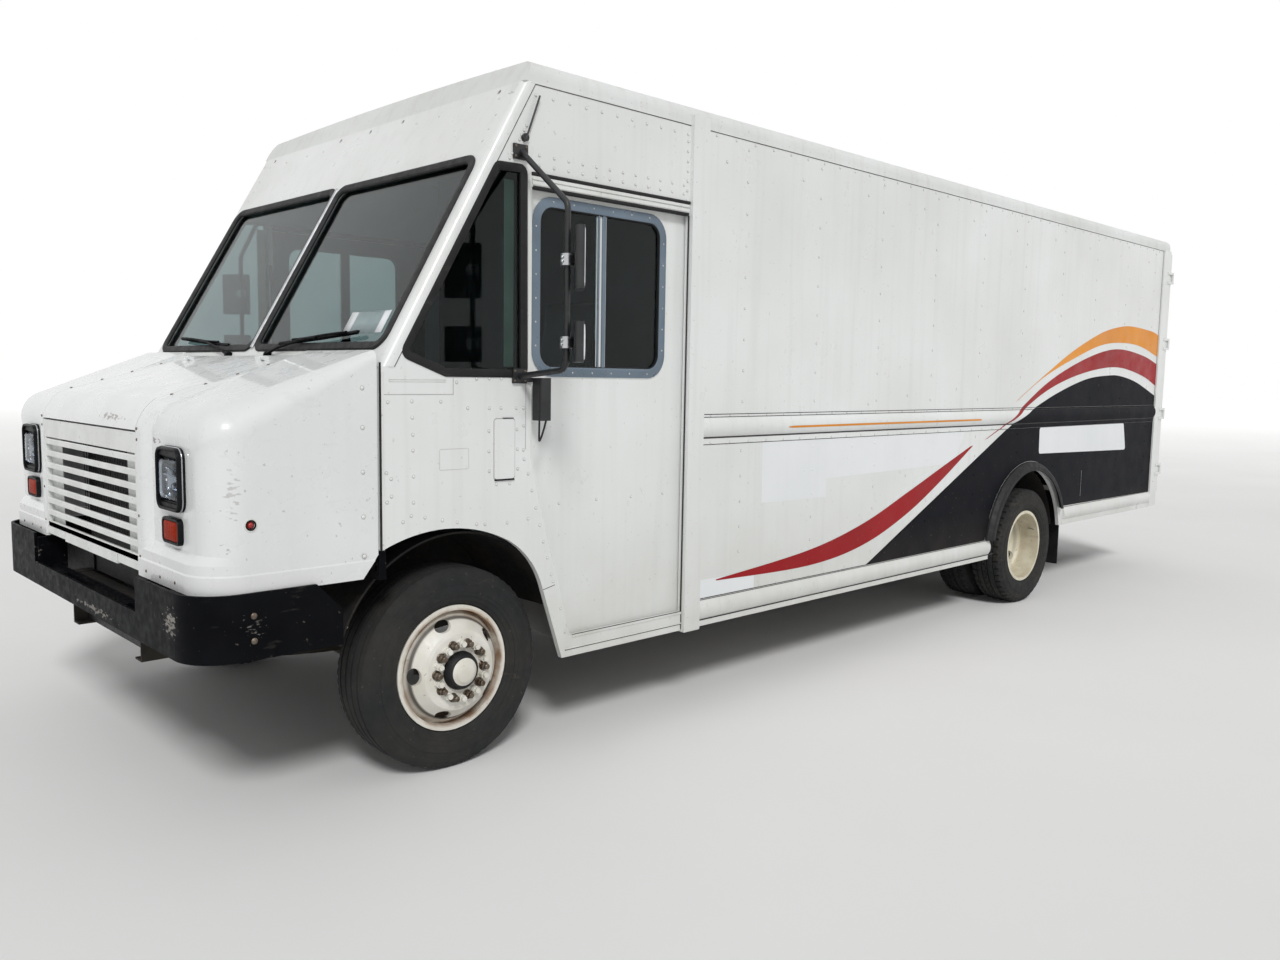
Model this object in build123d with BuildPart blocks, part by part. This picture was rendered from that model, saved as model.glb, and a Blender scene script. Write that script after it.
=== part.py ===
# Bonneted walk-in delivery truck, front towards -Y, its left side towards +X, tyres on Z = 0.
# Millimetres. The origin is on the ground, midway between the bumper and the rear doors.
import os
from math import cos, radians, sin, sqrt

from build123d import *

# Overall sizes
LENGTH = 8620
WIDTH = 2375
ROOF_HEIGHT = 2905
WHEELBASE = 4946
FRONT_OVERHANG = 1077
HALF = WIDTH / 2
FRONT = -LENGTH / 2

# Stations along the truck, each measured back from the bumper's face
NOSE_FRONT = FRONT + 40
NOSE_REAR = FRONT + 690
CAB_FRONT = FRONT + 705
FRONT_AXLE = FRONT + FRONT_OVERHANG
REAR_AXLE = FRONT_AXLE + WHEELBASE
DOOR_FRONT = FRONT + 1404
POST_FRONT = FRONT + 2340
POST_REAR = POST_FRONT + 110
REAR_POST_FRONT = FRONT + 8420
BODY_REAR = REAR_POST_FRONT + 150

# Body shell
SIDE_WALL = 25
SIDE_INNER = HALF - SIDE_WALL
SKIRT_BOTTOM = 385
REAR_SKIRT_BOTTOM = 522
ROOF_BAND = 113
WALL_TOP = ROOF_HEIGHT - ROOF_BAND
FLOOR_TOP = 840
FLOOR_PLATE = 40
FLOOR_BOTTOM = FLOOR_TOP - FLOOR_PLATE
POST_STAND = 22
DOOR_GAP = 5.5
CLOSE_GAP = 0.3

# Raked windscreen plane, from the cowl to the roof's front edge
RAKE_FOOT_Z = 1640
RAKE_FOOT_Y = CAB_FRONT
RAKE_SLOPE = 0.572
RAKE_DEPTH = 55
RAKE_ANGLE_SIN = RAKE_SLOPE / sqrt(1 + RAKE_SLOPE**2)
RAKE_ANGLE_COS = 1 / sqrt(1 + RAKE_SLOPE**2)

# Wheels and tyres
TYRE_RADIUS = 419
TYRE_WIDTH = 248
BEAD_RADIUS = 248
BEAD_HALF = 89.7
TYRE_SIDES = 40
TYRE_TURN = 180 / TYRE_SIDES
TYRE_RINGS = [(BEAD_HALF, BEAD_RADIUS + 14), (TYRE_WIDTH / 2 - 3, 310), (TYRE_WIDTH / 2 - 2, 350),
              (TYRE_WIDTH / 2 - 18, 402), (TYRE_WIDTH / 2 - 40, TYRE_RADIUS)]
RIM_WIDTH = 196
RIM_WALL = 9
FLANGE_RADIUS = 260
HUB_FACE_FRONT = 1137
DISC_OFFSET = 143
DISC_WALL = 11
FRONT_WHEEL_X = HUB_FACE_FRONT + DISC_WALL - DISC_OFFSET
HUB_FACE_REAR = 939
STUD_CIRCLE = 225
STUD_COUNT = 10
HAND_HOLES = 5
KINGPIN_X = 870
KINGPIN_RADIUS = 16

# Chassis
RAIL_OUTER = 432
RAIL_HEIGHT = 240
RAIL_BOTTOM = 480
RAIL_TOP = RAIL_BOTTOM + RAIL_HEIGHT
RAIL_FLANGE = 70
RAIL_WALL = 8
RAIL_FRONT = FRONT + 90
RAIL_REAR = FRONT + 8400


def rake_y(z):
    """Station of the windscreen's outer plane at a height."""
    return RAKE_FOOT_Y + (z - RAKE_FOOT_Z) * RAKE_SLOPE


def block(x0, x1, y0, y1, z0, z1, mode=Mode.ADD):
    """A square block between two corners, added to the piece being built."""
    with Locations(((x0 + x1) / 2, (y0 + y1) / 2, (z0 + z1) / 2)):
        Box(x1 - x0, y1 - y0, z1 - z0, mode=mode)


def both_blocks(x0, x1, y0, y1, z0, z1, mode=Mode.ADD):
    """The same block on the left side and on the right side."""
    block(x0, x1, y0, y1, z0, z1, mode)
    block(-x1, -x0, y0, y1, z0, z1, mode)


def rod(start, end, radius, mode=Mode.ADD):
    """A round bar between two points."""
    run = Vector(*end) - Vector(*start)
    with BuildSketch(Plane(origin=start, z_dir=run.normalized())) as section:
        Circle(radius)
    extrude(section.sketch, amount=run.length, mode=mode)


def side_prism(points, x0, x1, mode=Mode.ADD):
    """A side-view outline of (station, height) points, extruded from x0 to x1."""
    with BuildSketch(Plane.YZ.offset(x0)) as outline:
        with BuildLine():
            Polyline(*points, close=True)
        make_face()
    extrude(outline.sketch, amount=x1 - x0, mode=mode)


def mirrored(piece):
    """The opposite hand of a finished piece."""
    with BuildPart() as other:
        mirror(piece.part, about=Plane.YZ)
    return other


def wheel_plane(y):
    """A plane through an axle, with X outboard and its second axis as the radius."""
    return Plane(origin=(0, y, TYRE_RADIUS), x_dir=(1, 0, 0), z_dir=(0, 0, -1))


def turn(points, y, mode=Mode.ADD):
    """A ring turned about the axle at station y from (x, radius) points."""
    plane = wheel_plane(y)
    with BuildSketch(plane) as section:
        with BuildLine():
            Polyline(*points, close=True)
        make_face()
    revolve(section.sketch, axis=Axis((0, y, TYRE_RADIUS), (1, 0, 0)), mode=mode)


# Ladder frame of two C rails joined by crossmembers
CROSSMEMBERS = [FRONT + s for s in (130, 1900, 2900, 3900, 4900, 5560, 6500, 7400, 8370)]
CROSSMEMBER_DEPTH = 50
CROSSMEMBER_HEIGHT = 60
RAIL_INNER = RAIL_OUTER - RAIL_FLANGE

with BuildPart() as chassis_frame:
    both_blocks(RAIL_INNER, RAIL_OUTER, RAIL_FRONT, RAIL_REAR, RAIL_BOTTOM, RAIL_TOP)
    both_blocks(RAIL_INNER, RAIL_OUTER - RAIL_WALL, RAIL_FRONT, RAIL_REAR,
                RAIL_BOTTOM + RAIL_WALL, RAIL_TOP - RAIL_WALL, Mode.SUBTRACT)
    for y in CROSSMEMBERS:
        block(-RAIL_OUTER + RAIL_WALL / 2, RAIL_OUTER - RAIL_WALL / 2,
              y - CROSSMEMBER_DEPTH / 2, y + CROSSMEMBER_DEPTH / 2,
              RAIL_TOP - CROSSMEMBER_HEIGHT, RAIL_TOP - RAIL_WALL / 2)

# Front I-beam axle with its kingpins and leaf springs
BEAM_HALF_DEPTH = 40
EYE_BOTTOM = 379
EYE_TOP = 459
EYE_RADIUS = 38
PIN_BOTTOM = 346
PIN_TOP = 492
SPRING_WIDTH = 70
SPRING_X = RAIL_OUTER - SPRING_WIDTH / 2
SPRING_HALF_LENGTH = 640
SPRING_PACK = 40

with BuildPart() as front_axle:
    with BuildSketch(Plane.XZ.offset(-FRONT_AXLE - BEAM_HALF_DEPTH)):
        with BuildLine():
            Polyline((0, 300), (620, 300), (760, EYE_BOTTOM), (KINGPIN_X, EYE_BOTTOM),
                     (KINGPIN_X, EYE_TOP), (730, EYE_TOP), (590, 380), (0, 380), close=True)
        make_face()
        mirror(about=Plane.YZ)
    extrude(amount=2 * BEAM_HALF_DEPTH)
    for side in (1, -1):
        x = side * KINGPIN_X
        rod((x, FRONT_AXLE, EYE_BOTTOM), (x, FRONT_AXLE, EYE_TOP), EYE_RADIUS)
        rod((x, FRONT_AXLE, PIN_BOTTOM), (x, FRONT_AXLE, PIN_TOP), KINGPIN_RADIUS)
        with BuildSketch(Plane.YZ.offset(side * SPRING_X - SPRING_WIDTH / 2)):
            with BuildLine():
                l1 = ThreePointArc((FRONT_AXLE - SPRING_HALF_LENGTH, 440), (FRONT_AXLE, 378),
                                   (FRONT_AXLE + SPRING_HALF_LENGTH, 440))
                l2 = Line(l1 @ 1, (FRONT_AXLE + SPRING_HALF_LENGTH, 440 + SPRING_PACK))
                l3 = ThreePointArc(l2 @ 1, (FRONT_AXLE, 378 + SPRING_PACK + 8),
                                   (FRONT_AXLE - SPRING_HALF_LENGTH, 440 + SPRING_PACK))
                Line(l3 @ 1, l1 @ 0)
            make_face()
        extrude(amount=SPRING_WIDTH)

# Rear drive axle with its gear case and leaf springs outside the rails
REAR_SPRING_X = RAIL_OUTER + 45
REAR_SPRING_HALF = 680
AXLE_TUBE = 60
SPINDLE = 42
SPINDLE_END = 975
PINION_FRONT = REAR_AXLE - 300

with BuildPart() as rear_axle:
    rod((-640, REAR_AXLE, TYRE_RADIUS), (640, REAR_AXLE, TYRE_RADIUS), AXLE_TUBE)
    rod((-SPINDLE_END, REAR_AXLE, TYRE_RADIUS), (SPINDLE_END, REAR_AXLE, TYRE_RADIUS), SPINDLE)
    with BuildSketch(wheel_plane(REAR_AXLE)):
        with BuildLine():
            l1 = Line((-170, 0), (170, 0))
            l2 = Line(l1 @ 1, (170, 60))
            l3 = ThreePointArc(l2 @ 1, (0, 165), (-170, 60))
            Line(l3 @ 1, l1 @ 0)
        make_face()
    revolve(axis=Axis((0, REAR_AXLE, TYRE_RADIUS), (1, 0, 0)))
    rod((0, PINION_FRONT, TYRE_RADIUS), (0, REAR_AXLE, TYRE_RADIUS), 62)
    for side in (1, -1):
        x0 = side * REAR_SPRING_X - SPRING_WIDTH / 2
        with BuildSketch(Plane.YZ.offset(x0)):
            with BuildLine():
                l1 = ThreePointArc((REAR_AXLE - REAR_SPRING_HALF, 560), (REAR_AXLE, 476),
                                   (REAR_AXLE + REAR_SPRING_HALF, 560))
                l2 = Line(l1 @ 1, (REAR_AXLE + REAR_SPRING_HALF, 610))
                l3 = ThreePointArc(l2 @ 1, (REAR_AXLE, 556), (REAR_AXLE - REAR_SPRING_HALF, 610))
                Line(l3 @ 1, l1 @ 0)
            make_face()
        extrude(amount=SPRING_WIDTH)
        for end in (-1, 1):
            y = REAR_AXLE + end * (REAR_SPRING_HALF - 30)
            block(min(side * RAIL_OUTER, side * (REAR_SPRING_X + 30)),
                  max(side * RAIL_OUTER, side * (REAR_SPRING_X + 30)), y - 30, y + 30, 570, 680)

# Steering knuckle: two ears on the kingpin, a yoke, the wheel spindle and the tie-rod arm
EAR_THICK = 28
EAR_GAP = 5
YOKE_INNER = KINGPIN_X + EYE_RADIUS + 8
YOKE_OUTER = YOKE_INNER + 22
SPINDLE_FRONT_END = 1110
SPINDLE_FRONT = 30
ARM_REACH = 180
BALL_RADIUS = 10
ROD_HEIGHT = 300
ROD_EYE_HALF = 14

with BuildPart() as knuckle_left:
    for z0 in (EYE_TOP + EAR_GAP, EYE_BOTTOM - EAR_GAP - EAR_THICK):
        rod((KINGPIN_X, FRONT_AXLE, z0), (KINGPIN_X, FRONT_AXLE, z0 + EAR_THICK), EYE_RADIUS)
        block(KINGPIN_X, YOKE_OUTER, FRONT_AXLE - 32, FRONT_AXLE + 32, z0, z0 + EAR_THICK)
    block(YOKE_INNER, YOKE_OUTER, FRONT_AXLE - 45, FRONT_AXLE + 45,
          EYE_BOTTOM - EAR_GAP - EAR_THICK, EYE_TOP + EAR_GAP + EAR_THICK)
    rod((YOKE_INNER, FRONT_AXLE, TYRE_RADIUS), (SPINDLE_FRONT_END, FRONT_AXLE, TYRE_RADIUS),
        SPINDLE_FRONT)
    arm_z = EYE_BOTTOM - EAR_GAP - EAR_THICK
    block(KINGPIN_X - 18, KINGPIN_X + 18, FRONT_AXLE, FRONT_AXLE + ARM_REACH, arm_z, arm_z + 22)
    rod((KINGPIN_X, FRONT_AXLE + ARM_REACH, arm_z), (KINGPIN_X, FRONT_AXLE + ARM_REACH, arm_z + 22), 24)
    rod((KINGPIN_X, FRONT_AXLE + ARM_REACH, ROD_HEIGHT - ROD_EYE_HALF - 4),
        (KINGPIN_X, FRONT_AXLE + ARM_REACH, arm_z + 10), BALL_RADIUS)
    rod((KINGPIN_X, FRONT_AXLE, arm_z - 1), (KINGPIN_X, FRONT_AXLE, EYE_TOP + EAR_GAP + EAR_THICK + 1),
        KINGPIN_RADIUS + 0.5, Mode.SUBTRACT)

knuckle_right = mirrored(knuckle_left)

# Tie rod between the two steering arms
with BuildPart() as tie_rod:
    y = FRONT_AXLE + ARM_REACH
    rod((-KINGPIN_X, y, ROD_HEIGHT), (KINGPIN_X, y, ROD_HEIGHT), 12)
    for side in (1, -1):
        rod((side * KINGPIN_X, y, ROD_HEIGHT - ROD_EYE_HALF),
            (side * KINGPIN_X, y, ROD_HEIGHT + ROD_EYE_HALF), 23)
        rod((side * KINGPIN_X, y, ROD_HEIGHT - ROD_EYE_HALF - 1),
            (side * KINGPIN_X, y, ROD_HEIGHT + ROD_EYE_HALF + 1), BALL_RADIUS + 0.5, Mode.SUBTRACT)


def tyre(centre, y):
    """One tyre, ruled through many-sided rings from bead to tread, then bored to the rim."""
    half = [(-x, radius) for x, radius in TYRE_RINGS] + [(x, radius) for x, radius in reversed(TYRE_RINGS)]
    with BuildPart() as body:
        for x, radius in half:
            with BuildSketch(Plane(origin=(centre + x, y, TYRE_RADIUS), x_dir=(0, 0, -1), z_dir=(1, 0, 0))):
                RegularPolygon(radius, TYRE_SIDES, major_radius=False, rotation=TYRE_TURN)
        loft(ruled=True)
        with BuildSketch(Plane(origin=(centre, y, TYRE_RADIUS), x_dir=(0, 0, -1), z_dir=(1, 0, 0))):
            RegularPolygon(BEAD_RADIUS, TYRE_SIDES, major_radius=False, rotation=TYRE_TURN)
        extrude(amount=TYRE_WIDTH, both=True, mode=Mode.SUBTRACT)
    return body


def rim(centre, y):
    """The rim's barrel and its two flanges."""
    half = RIM_WIDTH / 2
    barrel = BEAD_RADIUS - 0.5
    turn([(centre - half, barrel - RIM_WALL), (centre + half, barrel - RIM_WALL),
          (centre + half, FLANGE_RADIUS), (centre + half - 8, FLANGE_RADIUS),
          (centre + half - 8, barrel), (centre - half + 8, barrel),
          (centre - half + 8, FLANGE_RADIUS), (centre - half, FLANGE_RADIUS)], y)


def disc(centre, face, y):
    """The wheel's dished disc, from inside the barrel to its flat face at the hub."""
    sign = 1 if face > centre else -1
    barrel = BEAD_RADIUS - RIM_WALL
    root = face - sign * 88
    turn([(root, barrel), (face - sign * 42, 205), (face - sign * 4, 165), (face, 150), (face, 60),
          (face - sign * DISC_WALL, 60), (face - sign * DISC_WALL, 150),
          (face - sign * (DISC_WALL + 6), 162), (face - sign * (DISC_WALL + 42), 198),
          (root - sign * DISC_WALL, 225), (root - sign * DISC_WALL, barrel)], y)


def hand_holes(face, y):
    """Five oval holes through the sloping part of the disc."""
    with BuildSketch(Plane(origin=(face - 120, y, TYRE_RADIUS), z_dir=(1, 0, 0))) as holes:
        with PolarLocations(193, HAND_HOLES, start_angle=18):
            Ellipse(21, 36)
    extrude(holes.sketch, amount=240, mode=Mode.SUBTRACT)


def studs(face, y, reach):
    """Ten studs with their nuts on the bolt circle."""
    with BuildSketch(Plane(origin=(face - 2, y, TYRE_RADIUS), z_dir=(1, 0, 0))) as nuts:
        with PolarLocations(STUD_CIRCLE / 2, STUD_COUNT):
            RegularPolygon(16, 6)
    extrude(nuts.sketch, amount=24)
    with BuildSketch(Plane(origin=(face, y, TYRE_RADIUS), z_dir=(1, 0, 0))) as bolts:
        with PolarLocations(STUD_CIRCLE / 2, STUD_COUNT):
            Circle(11)
    extrude(bolts.sketch, amount=reach)


# Front wheel: rim, convex disc, hub with its cap, and studs
with BuildPart() as wheel_front_left:
    outer_face = HUB_FACE_FRONT + DISC_WALL
    rim(FRONT_WHEEL_X, FRONT_AXLE)
    disc(FRONT_WHEEL_X, outer_face, FRONT_AXLE)
    hand_holes(outer_face - 30, FRONT_AXLE)
    turn([(960, SPINDLE_FRONT + 0.5), (960, 82), (HUB_FACE_FRONT - 22, 82), (HUB_FACE_FRONT - 22, 140),
          (HUB_FACE_FRONT, 140), (HUB_FACE_FRONT, 72), (outer_face + 14, 72), (outer_face + 34, 60),
          (outer_face + 46, 42), (outer_face + 46, 0), (SPINDLE_FRONT_END + 2, 0),
          (SPINDLE_FRONT_END + 2, SPINDLE_FRONT + 0.5)], FRONT_AXLE)
    studs(outer_face, FRONT_AXLE, 36)

wheel_front_right = mirrored(wheel_front_left)

tyre_front_left = tyre(FRONT_WHEEL_X, FRONT_AXLE)

tyre_front_right = mirrored(tyre_front_left)

# Rear twin wheels: two rims whose discs meet at the hub face
REAR_OUTER_X = HUB_FACE_REAR + DISC_OFFSET
REAR_INNER_X = HUB_FACE_REAR - DISC_OFFSET

with BuildPart() as wheel_rear_left:
    rim(REAR_OUTER_X, REAR_AXLE)
    rim(REAR_INNER_X, REAR_AXLE)
    disc(REAR_OUTER_X, HUB_FACE_REAR, REAR_AXLE)
    disc(REAR_INNER_X, HUB_FACE_REAR, REAR_AXLE)
    hand_holes(HUB_FACE_REAR, REAR_AXLE)
    turn([(760, SPINDLE + 0.5), (760, 96), (HUB_FACE_REAR - DISC_WALL, 96),
          (HUB_FACE_REAR - DISC_WALL, 61), (HUB_FACE_REAR + DISC_WALL, 61),
          (HUB_FACE_REAR + DISC_WALL, 92), (1010, 92), (1024, 84),
          (1024, 0), (SPINDLE_END + 3, 0), (SPINDLE_END + 3, SPINDLE + 0.5)], REAR_AXLE)
    studs(HUB_FACE_REAR + DISC_WALL, REAR_AXLE, 40)

wheel_rear_right = mirrored(wheel_rear_left)

outer_tyre = tyre(REAR_OUTER_X, REAR_AXLE)
inner_tyre = tyre(REAR_INNER_X, REAR_AXLE)
with BuildPart() as tyre_rear_left:
    add(outer_tyre.part)
    add(inner_tyre.part)

tyre_rear_right = mirrored(tyre_rear_left)

# Engine with its gearbox, between the rails under the nose and the cab
ENGINE_FRONT = FRONT + 270
ENGINE_REAR = FRONT + 1100
ENGINE_TOP = 1160
GEARBOX_REAR = FRONT + 1800
GEARBOX_Z = 600
ENGINE_HALF = 330

with BuildPart() as engine_block:
    block(-ENGINE_HALF, ENGINE_HALF, ENGINE_FRONT, ENGINE_REAR, 560, ENGINE_TOP)
    rod((0, ENGINE_REAR, GEARBOX_Z), (0, GEARBOX_REAR, GEARBOX_Z), 150)
    both_blocks(ENGINE_HALF - 1, RAIL_OUTER - RAIL_WALL, FRONT + 560, FRONT + 640, 600, 690)

# Radiator standing on the rails behind the grille
with BuildPart() as radiator:
    block(-410, 410, FRONT + 170, FRONT + 235, RAIL_TOP, 1330)

# Propeller shaft from the gearbox to the axle's gear case
SHAFT_RADIUS = 42

with BuildPart() as propeller_shaft:
    rod((0, GEARBOX_REAR + 40, GEARBOX_Z), (0, PINION_FRONT - 40, TYRE_RADIUS), SHAFT_RADIUS)
    rod((0, GEARBOX_REAR, GEARBOX_Z), (0, GEARBOX_REAR + 60, GEARBOX_Z), 55)
    rod((0, PINION_FRONT - 60, TYRE_RADIUS), (0, PINION_FRONT, TYRE_RADIUS), 55)

# Fuel tank on the left rail behind the cab
TANK_FRONT = FRONT + 2700
TANK_LENGTH = 1200

with BuildPart() as fuel_tank:
    block(RAIL_OUTER + 60, 1040, TANK_FRONT, TANK_FRONT + TANK_LENGTH, 410, 740)
    fillet(fuel_tank.edges().filter_by(Axis.Y), 60)
    for share in (0.2, 0.8):
        y = TANK_FRONT + share * TANK_LENGTH
        block(RAIL_OUTER, RAIL_OUTER + 80, y - 30, y + 30, 500, 660)

# Silencer and tail pipe on the right rail
with BuildPart() as exhaust:
    rod((-620, FRONT + 3000, 560), (-620, FRONT + 3900, 560), 115)
    rod((-620, FRONT + 3880, 560), (-620, FRONT + 4900, 560), 45)
    rod((-620, FRONT + 2300, 560), (-620, FRONT + 3020, 560), 45)
    for s in (3150, 3750):
        block(-560, -RAIL_OUTER, FRONT + s - 25, FRONT + s + 25, 540, 600)

# Front bumper wrapped round the nose, cut away in the middle for the tow hooks
BUMPER_BOTTOM = 632
BUMPER_TOP = 866
BUMPER_WALL = 12
BUMPER_CUT_Z = 735
BUMPER_SIDE_END = FRONT + 535
BUMPER_TOP_END = FRONT + 436
BUMPER_CORNER = 165
BUMPER_HALF = HALF + 18

with BuildPart() as front_bumper:
    turn_in = BUMPER_CORNER * (1 - sqrt(0.5))
    with BuildSketch(Plane.XY.offset(BUMPER_BOTTOM)):
        with BuildLine():
            l1 = Line((-BUMPER_HALF, BUMPER_SIDE_END), (-BUMPER_HALF, FRONT + BUMPER_CORNER))
            l2 = ThreePointArc(l1 @ 1, (-BUMPER_HALF + turn_in, FRONT + turn_in),
                               (-BUMPER_HALF + BUMPER_CORNER, FRONT))
            l3 = Line(l2 @ 1, (BUMPER_HALF - BUMPER_CORNER, FRONT))
            l4 = ThreePointArc(l3 @ 1, (BUMPER_HALF - turn_in, FRONT + turn_in),
                               (BUMPER_HALF, FRONT + BUMPER_CORNER))
            Line(l4 @ 1, (BUMPER_HALF, BUMPER_SIDE_END))
            offset(amount=-BUMPER_WALL, side=Side.LEFT)
        make_face()
    extrude(amount=BUMPER_TOP - BUMPER_BOTTOM)
    side_prism([(BUMPER_SIDE_END, BUMPER_BOTTOM + 130), (BUMPER_TOP_END, BUMPER_TOP),
                (BUMPER_SIDE_END + 5, BUMPER_TOP + 5)], -BUMPER_HALF - 5, BUMPER_HALF + 5, Mode.SUBTRACT)
    block(-660, 660, FRONT - 5, FRONT + 20, BUMPER_CUT_Z, BUMPER_TOP + 5, Mode.SUBTRACT)
    both_blocks(RAIL_INNER, RAIL_OUTER, FRONT + BUMPER_WALL - 1, RAIL_FRONT, RAIL_BOTTOM + 160, RAIL_TOP)
    both_blocks(640, 652, FRONT + BUMPER_WALL - 1, RAIL_FRONT + 40, BUMPER_CUT_Z - 40, BUMPER_TOP - 20)
    block(-652, 652, RAIL_FRONT - 30, RAIL_FRONT, RAIL_TOP - 60, RAIL_TOP)

# Nose: fenders round the lamps, a centre section round the hood and grille, and a lower skirt
NOSE_BOTTOM = 858
NOSE_WALL = 20
FENDER_REAR_TOP = 1700
FENDER_FRONT_TOP = 1466
SHOULDER_REAR = 36
SHOULDER_FRONT = 130
NOSE_CORNER = 118
LAMP_RECESS = 32
CENTRE_HALF = 676
FLANK_RADIUS = 44
SKIRT_STEP = 985
BAND_TOP = 922
BAND_STAND = 4
SKIRT_TUCK = 1
LAMP_FACE = NOSE_FRONT + LAMP_RECESS
HOOD_TURN_Y = FRONT + 119
HOOD_TURN_Z = 1510
HOOD_SLOPE = 0.300
VALLEY_HALF = 640
VALLEY_DROP = 3
BROW_BACK = 31
BROW_DROP = 46
GRILLE_HALF = 600
GRILLE_TOP = 1385
GRILLE_BOTTOM = 862


def hood_z(y):
    """Height of the hood's upper face at a station."""
    return HOOD_TURN_Z + (y - HOOD_TURN_Y) * HOOD_SLOPE


def fender_form(inset):
    """The two fenders as one rounded body, drawn in by the inset."""
    with BuildPart() as form:
        for y, top, radius in ((NOSE_REAR + inset, FENDER_REAR_TOP, SHOULDER_REAR),
                               (LAMP_FACE + inset, FENDER_FRONT_TOP, SHOULDER_FRONT)):
            with BuildSketch(Plane(origin=(0, y, 0), x_dir=(1, 0, 0), z_dir=(0, -1, 0))) as section:
                with BuildLine():
                    Polyline((-HALF + inset, NOSE_BOTTOM - inset), (HALF - inset, NOSE_BOTTOM - inset),
                             (HALF - inset, top - inset), (-HALF + inset, top - inset), close=True)
                make_face()
                fillet(section.vertices().group_by(Axis.Y)[-1], radius - 0.7 * inset)
        loft(ruled=True)
        front = form.faces().sort_by(Axis.Y)[0]
        fillet(front.edges().sort_by(Axis.Z)[1:], NOSE_CORNER - inset)
        ends = (LAMP_FACE, NOSE_REAR + 60)
        drop = VALLEY_DROP + inset
        side_prism([(y, hood_z(y) - drop) for y in ends] + [(y, hood_z(y) + 200) for y in reversed(ends)],
                   -VALLEY_HALF - inset, VALLEY_HALF + inset, Mode.SUBTRACT)
    return form


def centre_form(inset):
    """The raised section round the hood and grille: side, plan and front outlines, intersected."""
    half = CENTRE_HALF - inset
    radius = FLANK_RADIUS - inset
    with BuildPart() as form:
        with BuildSketch(Plane.YZ.offset(-half)):
            with BuildLine():
                l1 = Line((NOSE_REAR + inset, NOSE_BOTTOM - inset),
                          (NOSE_FRONT + inset, NOSE_BOTTOM - inset))
                l2 = Line(l1 @ 1, (NOSE_FRONT + inset, GRILLE_TOP + 8))
                l3 = ThreePointArc(l2 @ 1, (NOSE_FRONT + BROW_BACK + 0.8 * inset, HOOD_TURN_Z - BROW_DROP - 0.6 * inset),
                                   (HOOD_TURN_Y + 0.3 * inset, HOOD_TURN_Z - inset))
                l4 = Line(l3 @ 1, (NOSE_REAR + inset, hood_z(NOSE_REAR) - inset))
                Line(l4 @ 1, l1 @ 0)
            make_face()
        extrude(amount=2 * half)
        with BuildSketch(Plane.XY.offset(NOSE_BOTTOM - inset)) as plan:
            with BuildLine():
                Polyline((-half, NOSE_REAR + inset), (-half, NOSE_FRONT + inset),
                         (half, NOSE_FRONT + inset), (half, NOSE_REAR + inset), close=True)
            make_face()
            fillet(plan.vertices().group_by(Axis.Y)[0], radius)
        extrude(amount=1000, mode=Mode.INTERSECT)
        top = hood_z(NOSE_REAR) - inset
        lean = (hood_z(NOSE_REAR) - HOOD_TURN_Z) / (NOSE_REAR - HOOD_TURN_Y)
        for side in (1, -1):
            with BuildSketch(Plane(origin=(0, NOSE_REAR, top), x_dir=(1, 0, 0), z_dir=(0, 1, lean))):
                with BuildLine():
                    corner = Line((side * (half + 5), -5), (side * (half - radius), -5))
                    drop = Line(corner @ 1, (side * (half - radius), 0))
                    turned = ThreePointArc(drop @ 1, (side * (half - radius * 0.293), radius * 0.293),
                                           (side * half, radius))
                    Polyline(turned @ 1, (side * (half + 5), radius), corner @ 0)
                make_face()
            extrude(amount=900, both=True, mode=Mode.SUBTRACT)
    return form


def skirt_form(inset):
    """The lower skirt, forward of the lamp faces, with a raised band round its foot."""
    with BuildPart() as form:
        for z, step, stand in ((NOSE_BOTTOM - inset, 0, BAND_STAND), (BAND_TOP - inset, 0, BAND_STAND),
                               (BAND_TOP + 6 - inset, 0, -SKIRT_TUCK), (SKIRT_STEP - 24 - inset, 0, -SKIRT_TUCK),
                               (SKIRT_STEP + 8 - inset, LAMP_RECESS, -SKIRT_TUCK)):
            front = NOSE_FRONT + inset + step - max(stand, 0)
            side = HALF - inset + stand
            with BuildSketch(Plane.XY.offset(z)) as section:
                with BuildLine():
                    Polyline((-side, NOSE_REAR + inset), (side, NOSE_REAR + inset),
                             (side, front), (-side, front), close=True)
                make_face()
                fillet(section.vertices().group_by(Axis.Y)[0], NOSE_CORNER + LAMP_RECESS - step + stand - inset)
        loft(ruled=True)
    return form


fender_outer = fender_form(0)
fender_inner = fender_form(NOSE_WALL)
centre_outer = centre_form(0)
centre_inner = centre_form(NOSE_WALL)
skirt_outer = skirt_form(0)
skirt_inner = skirt_form(NOSE_WALL)

LID_REAR = FRONT + 605
LID_FRONT_HALF = 598
LID_REAR_HALF = 552
LID_GAP = 5
LID_WALL = 16
LID_LIP_Z = GRILLE_TOP + 8
HOOD_HINGE_X = 400
HOOD_HINGE_Y = LID_REAR + 2.5
HOOD_HINGE_Z = hood_z(LID_REAR) + 14
HEADLAMP = (865, 1237, 168, 228)
TURN_LAMP = (859, 1054, 120, 94)
MARKER_Y = LAMP_FACE + NOSE_CORNER + 18
MARKER_RADIUS = 14
MARKER_Z = 1096
LAMP_DEPTH = 70


def lamp_prism(lamp, y0, y1, slack=0, mode=Mode.ADD):
    """A lamp's rounded block on both sides, from (x, z, width, height)."""
    x, z, width, height = lamp
    with BuildSketch(Plane(origin=(0, y0, 0), x_dir=(1, 0, 0), z_dir=(0, 1, 0))) as face:
        with Locations((x, -z), (-x, -z)):
            RectangleRounded(width + 2 * slack, height + 2 * slack, 26 + slack)
    extrude(face.sketch, amount=y1 - y0, mode=mode)


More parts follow.
